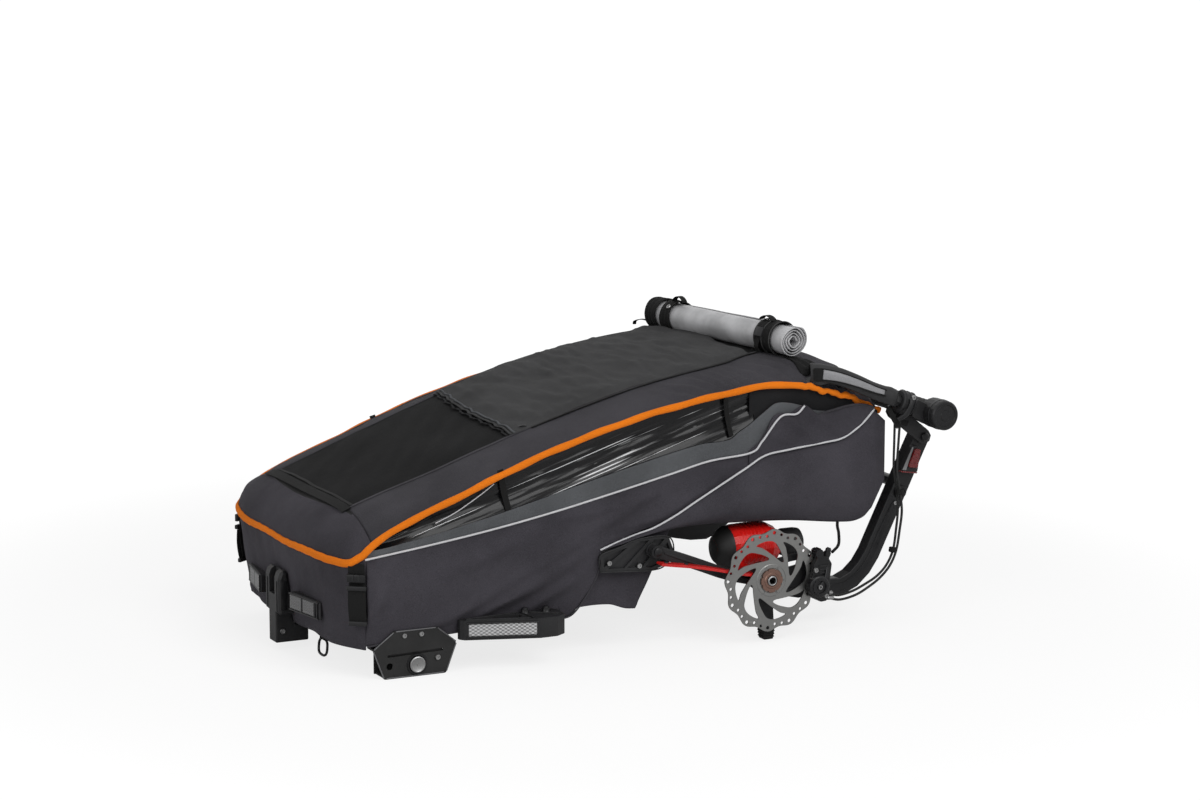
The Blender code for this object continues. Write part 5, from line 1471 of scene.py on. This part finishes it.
def buildRotor(side, name):
    body = "wheel_" + name
    cx, cz = axle
    rim = []
    for i in range(360):
        angle = tau * i / 360
        phase = rotorValues["waves"] * (angle - rotorValues["angle"])
        radius = rotorValues["radius"] + rotorValues["wave"] * cos(phase)
        rim.append(polar(axle, radius, angle))
    loops = [rim]
    for k in range(8):
        turned = tau * k / 8
        sweepLine = [polar(axle, r / 1000, radians(a) + turned) for r, a in windowSweep]
        loops.append(closedLine(sweepLine, 60))
    for k in range(36):
        reach, radius = ((0.0745, 0.0029), (0.0722, 0.0023), (0.0702, 0.0024))[k % 3]
        angle = rotorValues["angle"] - tau * k / 36
        loops.append(circle(*polar(axle, reach, angle), radius, 18))
    for k in range(6):
        angle = radians(27 + 60 * k)
        loops.append(circle(*polar(axle, rotorValues["rivets"], angle), 0.0024))
    loops.append(circle(cx, cz, 0.0066, 40))
    y, half = side * rotorValues["y"], rotorValues["thick"] / 2
    disc = platePiece("rotorDisc_" + name, body, "steel", loops, y - half, y + half, 0.0003,
                      replaced=("rotor_" + name,))
    # Sleeve with its fine splines, and the raised carrier that the windows' spokes run into
    profile = [(0.0055, 0.0065), (0.0066, 0.0069), (0.0071, 0.0066), (0.0078, 0.0058), (0.0078, -0.0129),
               (0.0055, -0.0129), (0.0055, 0.0065)]
    turnedPiece("rotorSleeve_" + name, body, "bolt", profile, (cx, y, cz), (0, side, 0), 48)
    profile = [(0.0192, 0.00115), (0.0196, 0.0017), (0.0248, 0.0017), (0.0256, 0.00105)]
    turnedPiece("rotorCarrier_" + name, body, "steel", profile, (cx, y, cz), (0, side, 0), 72)
    # Lock ring: notched disc with a stepped face
    face = y + side * (half + 0.0003)
    loop = []
    for i in range(160):
        angle = tau * i / 160
        notch = max(0.0, cos(8 * (angle - tau / 16)) - 0.72) * 0.0075
        loop.append(polar(axle, 0.0186 - notch, angle))
    ring = platePiece("lockRingDisc_" + name, body, "ring", [loop, circle(cx, cz, 0.0082, 40)],
                      face, face + side * 0.0026, 0.0004, replaced=("lock_ring_" + name,))
    profile = [(0.0086, 0.0026), (0.009, 0.0038), (0.0118, 0.0038), (0.0128, 0.0027)]
    turnedPiece("lockRingStep_" + name, body, "ring", profile, (cx, face, cz), (0, side, 0), 48)
    for k in range(6):
        x, z = polar(axle, rotorValues["rivets"], radians(27 + 60 * k) + 0.52)
        screwHead(f"rotorRivet_{k}_" + name, body, "steel", (x, y + side * 0.0016, z),
                  (0, side, 0), 0.0017, 0.0007)


def buildBrake(side, name):
    body = "swing_" + name
    # Carrier plate that ties the caliper to the hub, with its lightening slots
    outline = [(0.2025, 0.0745), (0.225, 0.07), (0.26, 0.062), (0.285, 0.064), (0.296, 0.078),
               (0.296, 0.112), (0.28, 0.129), (0.255, 0.133), (0.225, 0.128), (0.2025, 0.1235)]
    slots = [closedLine([(0.232, 0.083), (0.256, 0.079), (0.26, 0.086), (0.238, 0.0905)], 28),
             closedLine([(0.233, 0.112), (0.258, 0.115), (0.26, 0.122), (0.235, 0.119)], 28)]
    platePiece("caliperCarrier_" + name, body, "plastic", [outline] + slots, side * 0.2792, side * 0.2848,
               0.0008)
    # Drum cap with its adjuster wheel
    cx, cz, y = 0.2785, 0.0845, side * 0.3185
    profile = [(0.0, 0.0012), (0.0045, 0.0012), (0.005, 0.0004), (0.0095, 0.0004), (0.01, 0.0016),
               (0.015, 0.0016), (0.0168, 0.0006), (0.0172, 0.0)]
    turnedPiece("caliperCap_" + name, body, "gloss", profile, (cx, y, cz), (0, side, 0), 40)
    gear = []
    for i in range(120):
        angle = tau * i / 120
        radius = 0.0128 + 0.0006 * copysign(abs(sin(angle * 15)) ** 0.6, sin(angle * 15))
        gear.append(polar((cx, cz), radius, angle))
    platePiece("caliperDial_" + name, body, "gloss", [gear, circle(cx, cz, 0.0102, 32)], y + side * 0.001,
               y + side * 0.0034, 0.0004)
    screwHead("caliperBolt_0_" + name, body, "bolt", (cx, y + side * 0.0006, cz), (0, side, 0), 0.004,
              0.0028)
    for number, (x, z) in enumerate(((0.274, 0.1105), (0.2925, 0.068))):
        screwHead(f"caliperBolt_{number + 1}_" + name, body, "bolt", (x, side * 0.313, z), (0, side, 0),
                  0.004, 0.003)
    # Cooling ribs on the outer face
    for number in range(4):
        z = 0.0985 + 0.0055 * number
        blockPiece(f"caliperRib_{number}_" + name, body, "plastic",
                   (0.28, 0.3128 if side > 0 else -0.3148, z),
                   (0.2975, 0.3148 if side > 0 else -0.3128, z + 0.0022), 0.0006)
    # Actuating arm, clamp bolt and barrel adjuster
    path = smoothLine([(0.2785, side * 0.3205, 0.0845), (0.2905, side * 0.317, 0.1),
                       (0.298, side * 0.31, 0.118)], 16)
    tapePiece("brakeArm_" + name, path, 0.006, 0.003, body, "gloss", up=(0, side, 0))
    profile = [(0.0, 0.0085), (0.003, 0.0085), (0.0034, 0.007), (0.0046, 0.0066), (0.0046, 0.002),
               (0.0058, 0.0014), (0.0058, -0.004)]
    turnedPiece("cableBarrel_" + name, body, "gloss", profile, (0.299, side * 0.305, 0.134),
                (0.35, 0, 0.94), 24)
    for number in range(5):
        x, z = polar((0.2805, 0.136), 0.007, number * 1.25)
        blockPiece(f"knobGrip_{number}_" + name, body, "gloss",
                   (x - 0.0009, side * 0.306 - 0.007, z - 0.0009),
                   (x + 0.0009, side * 0.306 + 0.007, z + 0.0009), 0.0004)
    if side < 0:
        # Ferrules at the lower ends of the two brake cables
        profile = [(0.0021, 0.01), (0.0027, 0.01), (0.003, 0.009), (0.003, -0.0015), (0.002, -0.003),
                   (0.0, -0.003)]
        for number, (spot, aim) in enumerate((((0.303, -0.303, 0.0613), (0.97, 0.25, -0.1)),
                                              ((0.3045, -0.297, 0.068), (0.95, 0.28, -0.12)))):
            turnedPiece(f"cableFerrule_{number}", "rear_frame", "bolt", profile, spot, aim, 20)


def buildSuspension(side, name):
    body = "swing_" + name
    # Black dome over the front of the elastomer barrel and the housing behind it
    at = (0.203, side * 0.22, 0.1375)
    profile = [(0.0, -0.06), (0.012, -0.0598), (0.021, -0.056), (0.0308, -0.0455), (0.0346, -0.039),
               (0.035, -0.0372), (0.0344, -0.0366)]
    turnedPiece("barrelDome_" + name, body, "dome", profile, at, (1, 0, 0), 56)
    for number in range(7):
        reach = 0.0366 - 0.0002 * abs(number - 3)
        x = -0.021 + number * 0.007
        profile = [(reach - 0.0006, x - 0.0022), (reach + 0.0004, x - 0.0014), (reach + 0.0004, x + 0.0014),
                   (reach - 0.0006, x + 0.0022)]
        turnedPiece(f"barrelRing_{number}_" + name, body, "red", profile, at, (1, 0, 0), 56)
    profile = [(0.0, 0.094), (0.014, 0.0938), (0.02, 0.09), (0.0215, 0.082), (0.0215, 0.062),
               (0.019, 0.056), (0.012, 0.0555)]
    turnedPiece("barrelHousing_" + name, body, "plastic", profile, at, (1, 0, 0), 40)
    # Pivot washer and bolt of the arm, hub face with its axle sleeve
    profile = [(0.0, 0.004), (0.005, 0.004), (0.0064, 0.003), (0.0064, 0.0012), (0.0102, 0.001),
               (0.0102, 0.0)]
    turnedPiece("armPivotBolt_" + name, body, "gloss", profile, (0.018, side * 0.2787, 0.157), (0, side, 0),
                32)
    profile = [(0.01, 0.0), (0.011, 0.001), (0.019, 0.001), (0.0205, 0.0), (0.0228, -0.003)]
    turnedPiece("hubFace_" + name, body, "gloss", profile, (axle[0], side * 0.2868, axle[1]), (0, side, 0),
                48)
    # Bolts through the leaf and a rib along the arm
    for number, x in enumerate((0.028, 0.062)):
        screwHead(f"leafBolt_{number}_" + name, body, "gloss",
                  (x, side * 0.288, 0.1412 - (x - 0.018) * 0.16), (0, 0, 1), 0.0036, 0.003)
    path = smoothLine(onSide(side * 0.2793, [(0.03, 0.154), (0.08, 0.1335), (0.1425, 0.1085),
                                             (0.185, 0.097)]), 30)
    tapePiece("armRib_" + name, path, 0.003, 0.0014, body, "plastic", up=(0, side, 0))
    # Rubber foot, narrower at the ground, with its tread ribs
    def narrow(spot):
        if spot.z < 0:
            spot.x *= 0.8
            spot.y *= 0.84
        return spot
    y0, y1 = sorted((side * 0.26, side * 0.282))
    bm = blockMesh((0.2005, y0, 0.0), (0.2205, y1, 0.019), 0.0016, 3, narrow)
    meshPiece("footRubber_" + name, bm, body, "rubber", replaced=("foot_" + name,))
    for number in range(3):
        z = 0.0045 + 0.0044 * number
        reach = 0.0112 + z * 0.08
        path = []
        for i in range(33):
            angle = tau * i / 32
            cx, cy = cos(angle), sin(angle)
            path.append((0.2105 + (reach - 0.002) * copysign(abs(cx) ** 0.35, cx),
                         side * 0.271 + (reach - 0.001) * copysign(abs(cy) ** 0.35, cy), z))
        beadPiece(f"footRib_{number}_" + name, path, 0.0009, 6, body, "rubber", closed=False)


def buildPlateDetail(side, name):
    # Raised rims between the pockets of the ribbed plate and its two bolts
    rim = [(-0.0695, 0.13), (0.018, 0.1252), (0.043, 0.133), (0.0548, 0.15), (0.0452, 0.1748),
           (-0.004, 0.1758), (-0.0395, 0.165), (-0.0695, 0.1555), (-0.0695, 0.13)]
    path = [(x, side * 0.2604, z) for x, z in rim]
    beadPiece("plateRim_" + name, smoothLine(path, 90), 0.0011, 8, "chassis", "plastic", up=(0, side, 0))
    for number, (x, z) in enumerate(((-0.055, 0.143), (-0.004, 0.134))):
        screwHead(f"plateBolt_{number}_" + name, "chassis", "bolt", (x, side * 0.2603, z), (0, side, 0),
                  0.0042, 0.0022)


def buildRear():
    for side in sides:
        name = sideName(side)
        # Joint knob, pin cap and moulded seam of the rear post
        profile = [(0.0, 0.0028), (0.0062, 0.0028), (0.007, 0.004), (0.0098, 0.004), (0.0108, 0.0026),
                   (0.0112, 0.0)]
        turnedPiece("postKnob_" + name, "rear_frame", "gloss", profile, (0.465, side * 0.242, 0.204),
                    (0, side, 0), 36)
        turnedPiece("postPinCap_" + name, "upper_frame", "gloss",
                    [(0.0, 0.0022), (0.005, 0.0022), (0.0066, 0.001), (0.007, 0.0)],
                    (0.505, side * 0.2508, 0.29), (0, side, 0), 28)
        path = smoothLine(onSide(side * 0.2426, [(0.456, 0.185), (0.4323, 0.142), (0.4085, 0.096),
                                                 (0.379, 0.068), (0.3475, 0.06), (0.295, 0.07)]), 60)
        tapePiece("postSeam_" + name, path, 0.012, 0.0012, "rear_frame", "gloss", up=(0, side, 0))
        for number, (x, z) in enumerate(((0.456, 0.187), (0.296, 0.0695))):
            screwHead(f"postScrew_{number}_" + name, "rear_frame", "bolt", (x, side * 0.2434, z),
                      (0, side, 0), 0.0034, 0.0016)
        # Push bar: end cap, sleeve ring and moulded edge
        y = side * 0.302
        profile = [(0.0, 0.0014), (0.008, 0.0014), (0.0086, 0.0006), (0.0168, 0.0006), (0.0176, 0.0018),
                   (0.0216, 0.0018), (0.0232, 0.0)]
        turnedPiece("barCap_" + name, "push_bar", "gloss", profile, (pushBar[0], y, pushBar[1]), (0, side, 0),
                    56)
        profile = [(0.0234, 0.001), (0.0241, 0.0016), (0.0241, 0.005), (0.0234, 0.0056)]
        turnedPiece("barSleeveRing_" + name, "push_bar", "gloss", profile,
                    (pushBar[0], side * 0.285, pushBar[1]), (0, side, 0), 56)
        # Clamp lever, bolt and rings of the collar
        aim = Vector((0.0505, 0, -0.018)).normalized()
        rise = Vector((0.018, 0, 0.0505)).normalized()
        middle = Vector((0.459, side * 0.262, 0.35))
        for number, at in enumerate((-0.0085, 0.0, 0.0085)):
            profile = [(0.0188, -0.0012), (0.0196, -0.0008), (0.0196, 0.0008), (0.0188, 0.0012)]
            turnedPiece(f"collarRing_{number}_" + name, "upper_frame", "gloss", profile,
                        tuple(middle + aim * at), tuple(aim), 44)
        places = ((0.0, 0.0205, 0.01), (0.0, 0.0225, -0.002), (-0.004, 0.0205, -0.016),
                  (-0.012, 0.015, -0.024))
        lever = smoothLine([middle + Vector((x, side * y, 0)) + rise * up for x, y, up in places], 24)
        section = lambda t, a: (0.005 * (1 - 0.3 * t) * cos(a), 0.0022 * sin(a))
        meshPiece("collarLever_" + name, sweep(lever, section, 14, up=(0, side, 0)), "upper_frame", "gloss")
        screwHead("collarBolt_" + name, "upper_frame", "bolt",
                  tuple(middle + Vector((0, side * 0.0205, 0)) + rise * 0.012), (0, side, 0), 0.0038, 0.0026)
        # Webbing ends under the collar
        for number, points in enumerate(([(0.4287, 0.264, 0.345), (0.436, 0.268, 0.329),
                                          (0.447, 0.266, 0.313)],
                                         [(0.44, 0.256, 0.338), (0.456, 0.258, 0.321),
                                          (0.469, 0.256, 0.315)])):
            path = smoothLine([(x, side * y2, z) for x, y2, z in points], 18)
            tapePiece(f"collarWebbing_{number}_" + name, path, 0.009, 0.0016, "upper_frame", "strap",
                      up=(0, side, 0))
    # Grip with its fine rings
    rings = 90
    profile = [(0.0, -0.2503)]
    for i in range(rings + 1):
        y = -0.2503 + 0.5006 * i / rings
        profile.append((0.0165 + 0.0005 * cos(i * pi) - 0.0003, y))
    profile.append((0.0, 0.2503))
    grip = turnedPiece("gripFoam", "push_bar", "foam", profile, (pushBar[0], 0, pushBar[1]), (0, 1, 0),
                       replaced=("push_bar_grip",))
    # Tail light: pale strip, prism lens, red lip
    platePiece("tailLightStrip", "rear_frame", "grey",
               [[(0.4622, 0.2412), (0.469, 0.24), (0.4822, 0.2756), (0.48, 0.2764)]], -0.2538, -0.2524,
               0.0004)
    for number in range(5):
        t = number / 4
        low, high = Vector((0.4724, 0.2462)), Vector((0.4846, 0.2718))
        here = low.lerp(high, t)
        end = Vector((0.4876, 0.2442)).lerp(Vector((0.4928, 0.2706)), t)
        first, last = Vector((here.x, -0.2575, here.y)), Vector((end.x, -0.2575, end.y))
        path = smoothLine([first, (first + last) / 2, last], 8)
        beadPiece(f"tailLensRib_{number}", path, 0.0009, 8, "rear_frame", "redLens", up=(0, 1, 0))
    platePiece("tailLightLip", "rear_frame", "redLens",
               [[(0.4601, 0.2374), (0.489, 0.233), (0.49, 0.235), (0.4606, 0.2395)]], -0.254, -0.244, 0.0006)
    # Band that gathers the cables on the post
    for number, (x, z) in enumerate(((0.449, 0.21), (0.438, 0.118))):
        profile = [(0.0052, -0.004), (0.0062, -0.0032), (0.0062, 0.0032), (0.0052, 0.004), (0.0052, -0.004)]
        turnedPiece(f"cableBand_{number}", "rear_frame", "strap", profile, (x, -0.268, z), (0.15, 0, 1), 24)


def buildFront():
    for side in sides:
        name = sideName(side)
        # Strap, buckle and pull tab at the front corner
        outward = Vector((-0.58, 0.81, 0.0))

        def onCorner(z, turn, lift):
            v = (z - nose["low"]) / (nose["seam"] - nose["low"])
            x, y, _ = nosePlan(nose["flatShare"] + 0.14 * turn, nose["front"] + 0.022 * (1 - v),
                               nose["bow"] - 0.009 * (1 - v))
            here = Vector((x, y * (1 - 0.03 * (1 - v)), z)) + outward * lift
            return Vector((here.x, side * here.y, here.z))
        facing = (outward.x, side * outward.y, 0)
        strap = [onCorner(0.178 - 0.083 * i / 30, 0.42, 0.0034 + 0.001 * sin(i * 0.4)) for i in range(31)]
        tapePiece("frontStrap_" + name, strap, 0.025, 0.0018, "chassis", "strap", up=facing)
        tail = [onCorner(0.138 - 0.052 * i / 20, 0.42, 0.0072 + 0.0028 * sin(i * 0.16)) for i in range(21)]
        tapePiece("frontStrapTail_" + name, tail, 0.027, 0.0028, "chassis", "strap", up=facing)
        for number, (z, high, lift, wide, skin) in enumerate(((0.157, 0.012, 0.007, 0.0142, "gloss"),
                                                              (0.142, 0.007, 0.0085, 0.015, "plastic"),
                                                              (0.088, 0.007, 0.009, 0.0138, "plastic"))):
            bm = blockMesh((-0.0028, -wide, -high / 2), (0.0028, wide, high / 2), 0.0014)
            turn = (Matrix.Translation(onCorner(z, 0.42, lift))
                    @ Matrix.Rotation(side * radians(-54), 4, "Z"))
            bmesh.ops.transform(bm, matrix=turn, verts=bm.verts)
            meshPiece(f"frontBuckle_{number}_" + name, bm, "chassis", skin)
        for number in range(2):
            spot = onCorner(0.1575, 0.42 + (number - 0.5) * 0.42, 0.01)
            bm = blockMesh((-0.0008, -0.0014, -0.0046), (0.0008, 0.0014, 0.0046), 0.0005)
            bmesh.ops.transform(bm, matrix=Matrix.Translation(spot)
                                @ Matrix.Rotation(side * radians(-54), 4, "Z"), verts=bm.verts)
            meshPiece(f"buckleProng_{number}_" + name, bm, "chassis", "plastic")

        # Reflector face: prism rows either side of a divider, dark outer end
        face = [(-0.4965, 0.062), (-0.489, 0.106), (-0.482, 0.15)]

        def onFace(t, z, lift):
            near, middle, far = (Vector(corner) for corner in face)
            here = near.lerp(middle, t * 2) if t < 0.5 else middle.lerp(far, t * 2 - 1)
            return Vector((here.x - lift, side * here.y, z))
        for number, (t0, t1) in enumerate(((0.04, 0.415), (0.445, 0.82))):
            def prisms(u, v):
                rows = 0.0007 * abs(sin(v * pi * 5)) + 0.0003 * abs(sin(u * pi * 9))
                return onFace(t0 + (t1 - t0) * u, 0.0778 + 0.0214 * v, 0.0009 + rows)
            bm = spread(30, 24, prisms)
            bmesh.ops.recalc_face_normals(bm, faces=bm.faces)
            meshPiece(f"reflectorLens_{number}_" + name, bm, "chassis", "frontLens", wall=0.001)
        for number, t in enumerate((0.43, 0.86, 0.93)):
            spot = onFace(t, 0.0885, 0.0012)
            blockPiece(f"reflectorRib_{number}_" + name, "chassis", "gloss",
                       (spot.x - 0.0012, spot.y - 0.0016, 0.0765), (spot.x + 0.0012, spot.y + 0.0016, 0.1005),
                       0.0005)
        for place, z in (("Top", 0.1008), ("Low", 0.0762)):
            edge = [onFace(0.02 + 0.96 * i / 24, z, 0.0012) for i in range(25)]
            beadPiece(f"reflector{place}Edge_" + name, edge, 0.0012, 8, "chassis", "gloss")

        # Bumper: prism lens along its slanted face, ribs round the opening, two knobs
        first, last = Vector((-0.296, 0.265)), Vector((-0.188, 0.3005))
        along = (last - first).normalized()
        out = Vector((-along.y, along.x))

        def onBumper(t, z, lift):
            here = first.lerp(last, t) + out * lift
            return Vector((here.x, side * here.y, z))

        def dots(u, v):
            bump = 0.0006 * abs(sin(u * pi * 26)) * abs(sin(v * pi * 5))
            return onBumper(0.05 + 0.9 * u, 0.056 + 0.0185 * v, 0.001 + bump)
        bm = spread(70, 18, dots)
        bmesh.ops.recalc_face_normals(bm, faces=bm.faces)
        meshPiece("bumperLens_" + name, bm, "chassis", "whiteLens", wall=0.0011)
        for number, z in enumerate((0.0548, 0.0758)):
            edge = [onBumper(0.03 + 0.94 * i / 20, z, 0.0012) for i in range(21)]
            beadPiece(f"bumperEdge_{number}_" + name, edge, 0.0013, 8, "chassis", "gloss")
        for number, points in enumerate(([(-0.293, 0.26), (-0.206, 0.252)],
                                         [(-0.293, 0.264), (-0.202, 0.293)],
                                         [(-0.2, 0.256), (-0.196, 0.293)],
                                         [(-0.19, 0.256), (-0.15, 0.286)])):
            a, b = (Vector((x, side * y2, 0.0806)) for x, y2 in points)
            path = [a.lerp(b, i / 8) for i in range(9)]
            tapePiece(f"bumperRib_{number}_" + name, path, 0.0026, 0.0022, "chassis", "plastic")
        for number, (x, y2) in enumerate(((-0.195, 0.258), (-0.162, 0.262))):
            profile = [(0.0, 0.0085), (0.004, 0.0085), (0.0056, 0.0068), (0.006, 0.002), (0.0074, 0.0)]
            turnedPiece(f"bumperKnob_{number}_" + name, "chassis", "gloss", profile, (x, side * y2, 0.0798),
                        (0, 0, 1), 24)
    # Ring under the nose
    loop = []
    for i in range(41):
        angle = tau * i / 40
        loop.append((-0.455 + 0.002 * sin(angle),
                     -0.0925 + 0.017 * copysign(abs(cos(angle)) ** 0.7, cos(angle)),
                     0.019 + 0.012 * copysign(abs(sin(angle)) ** 0.7, sin(angle))))
    beadPiece("noseRing", loop, 0.002, 10, "chassis", "gloss", up=(1, 0, 0), closed=False)
    tab = [(-0.456, -0.0925, 0.031 + 0.001 * i) for i in range(22)]
    tapePiece("noseRingTab", tab, 0.02, 0.002, "chassis", "strap", up=(1, 0, 0))
    # Mount: bolts and moulded cheeks
    for number, z in enumerate((0.03, 0.07)):
        screwHead(f"mountBolt_{number}", "chassis", "bolt", (-0.491, -0.0152, z), (0, -1, 0), 0.0042, 0.0024)
    for side in sides:
        blockPiece("mountCheek_" + sideName(side), "chassis", "gloss",
                   (-0.4995, side * 0.0302 - 0.001, 0.066), (-0.488, side * 0.0302 + 0.001, 0.112), 0.0008)
        path = [(-0.5018, side * 0.02, 0.062 + 0.048 * i / 10) for i in range(11)]
        tapePiece("mountRib_" + sideName(side), path, 0.003, 0.0012, "chassis", "plastic", up=(1, 0, 0))


def buildBracket():
    y = -0.2502
    for number, (x, z) in enumerate(((-0.3874, 0.064), (-0.3601, 0.064))):
        screwHead(f"bracketScrew_{number}", "chassis", "bolt", (x, y, z), (0, -1, 0), 0.004, 0.002)
    screwHead("bracketBolt", "chassis", "bolt", (-0.3343, y, 0.026), (0, -1, 0), 0.0044, 0.0028)
    # Chamfered rim of the plate: beads painted pale grey, a painted highlight where the chamfer catches the
    # light
    rim = [(-0.4375, 0.046), (-0.4205, 0.0016), (-0.3205, 0.0016), (-0.3035, 0.046), (-0.3345, 0.0712),
           (-0.4035, 0.0712)]
    for number in range(6):
        (ax, az), (bx, bz) = rim[number], rim[(number + 1) % 6]
        path = []
        for i in range(13):
            t = 0.04 + 0.92 * i / 12
            path.append((ax + (bx - ax) * t, -0.2504, az + (bz - az) * t))
        beadPiece(f"bracketRim_{number}", path, 0.001, 8, "chassis", "edgeWear", up=(0, 1, 0))
    # Backing strip behind the slot
    blockPiece("slotBacking", "chassis", "bracket", (-0.415, -0.2466, 0.0336), (-0.324, -0.245, 0.041),
               0.0004)
    # Button face: dished disc with a small centre
    face = (button[0], -0.25, button[1])
    profile = [(0.0, 0.0046), (0.0014, 0.0046), (0.0018, 0.0038), (0.01, 0.004), (0.0108, 0.0046),
               (0.0121, 0.004), (0.0126, 0.0026), (0.0126, -0.004)]
    turnedPiece("buttonDisc", "bracket_button", "bolt", profile, face, (0, -1, 0), 48,
                replaced=("bracket_button",))
    profile = [(0.0133, 0.0), (0.0137, 0.0016), (0.0158, 0.0016), (0.0166, 0.0)]
    turnedPiece("buttonCollar", "chassis", "gloss", profile, face, (0, -1, 0), 48)


nodeFinishes = {"rail": "tube", "front_cross_tube": "tube", "middle_cross_tube": "tube",
                "rear_cross_tube": "tube", "roof_bow": "tube", "roof_tube": "tube", "rear_frame_bar": "tube",
                "nose_mount": "plastic", "drawbar_bracket": "bracket", "collar": "plastic",
                "push_bar_arm": "plastic", "rear_post": "post", "front_reflector": "plastic",
                "bumper": "plastic", "suspension_plate": "plastic", "swing_arm": "plastic",
                "caliper": "gloss", "foot": "rubber", "leaf_spring": "redLeaf", "damper": "red",
                "tail_light_housing": "plastic", "tail_light_lens": "redLens", "push_bar_grip": "foam"}


def dressFrame():
    for name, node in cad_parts.items():
        key = name.removesuffix("_left").removesuffix("_right")
        if key not in nodeFinishes:
            continue
        made = finishes[nodeFinishes[key]]
        if not node.material_slots:
            node.data.materials.append(made)
        for holder in node.material_slots:
            holder.material = made


buildRoll()
buildShoulders()
buildSeat()
print("roll, shoulders and seat built")
for side in sides:
    name = sideName(side)
    buildRotor(side, name)
    buildBrake(side, name)
    buildSuspension(side, name)
    buildPlateDetail(side, name)
buildRear()
buildFront()
buildBracket()
dressFrame()
print("hard parts dressed")
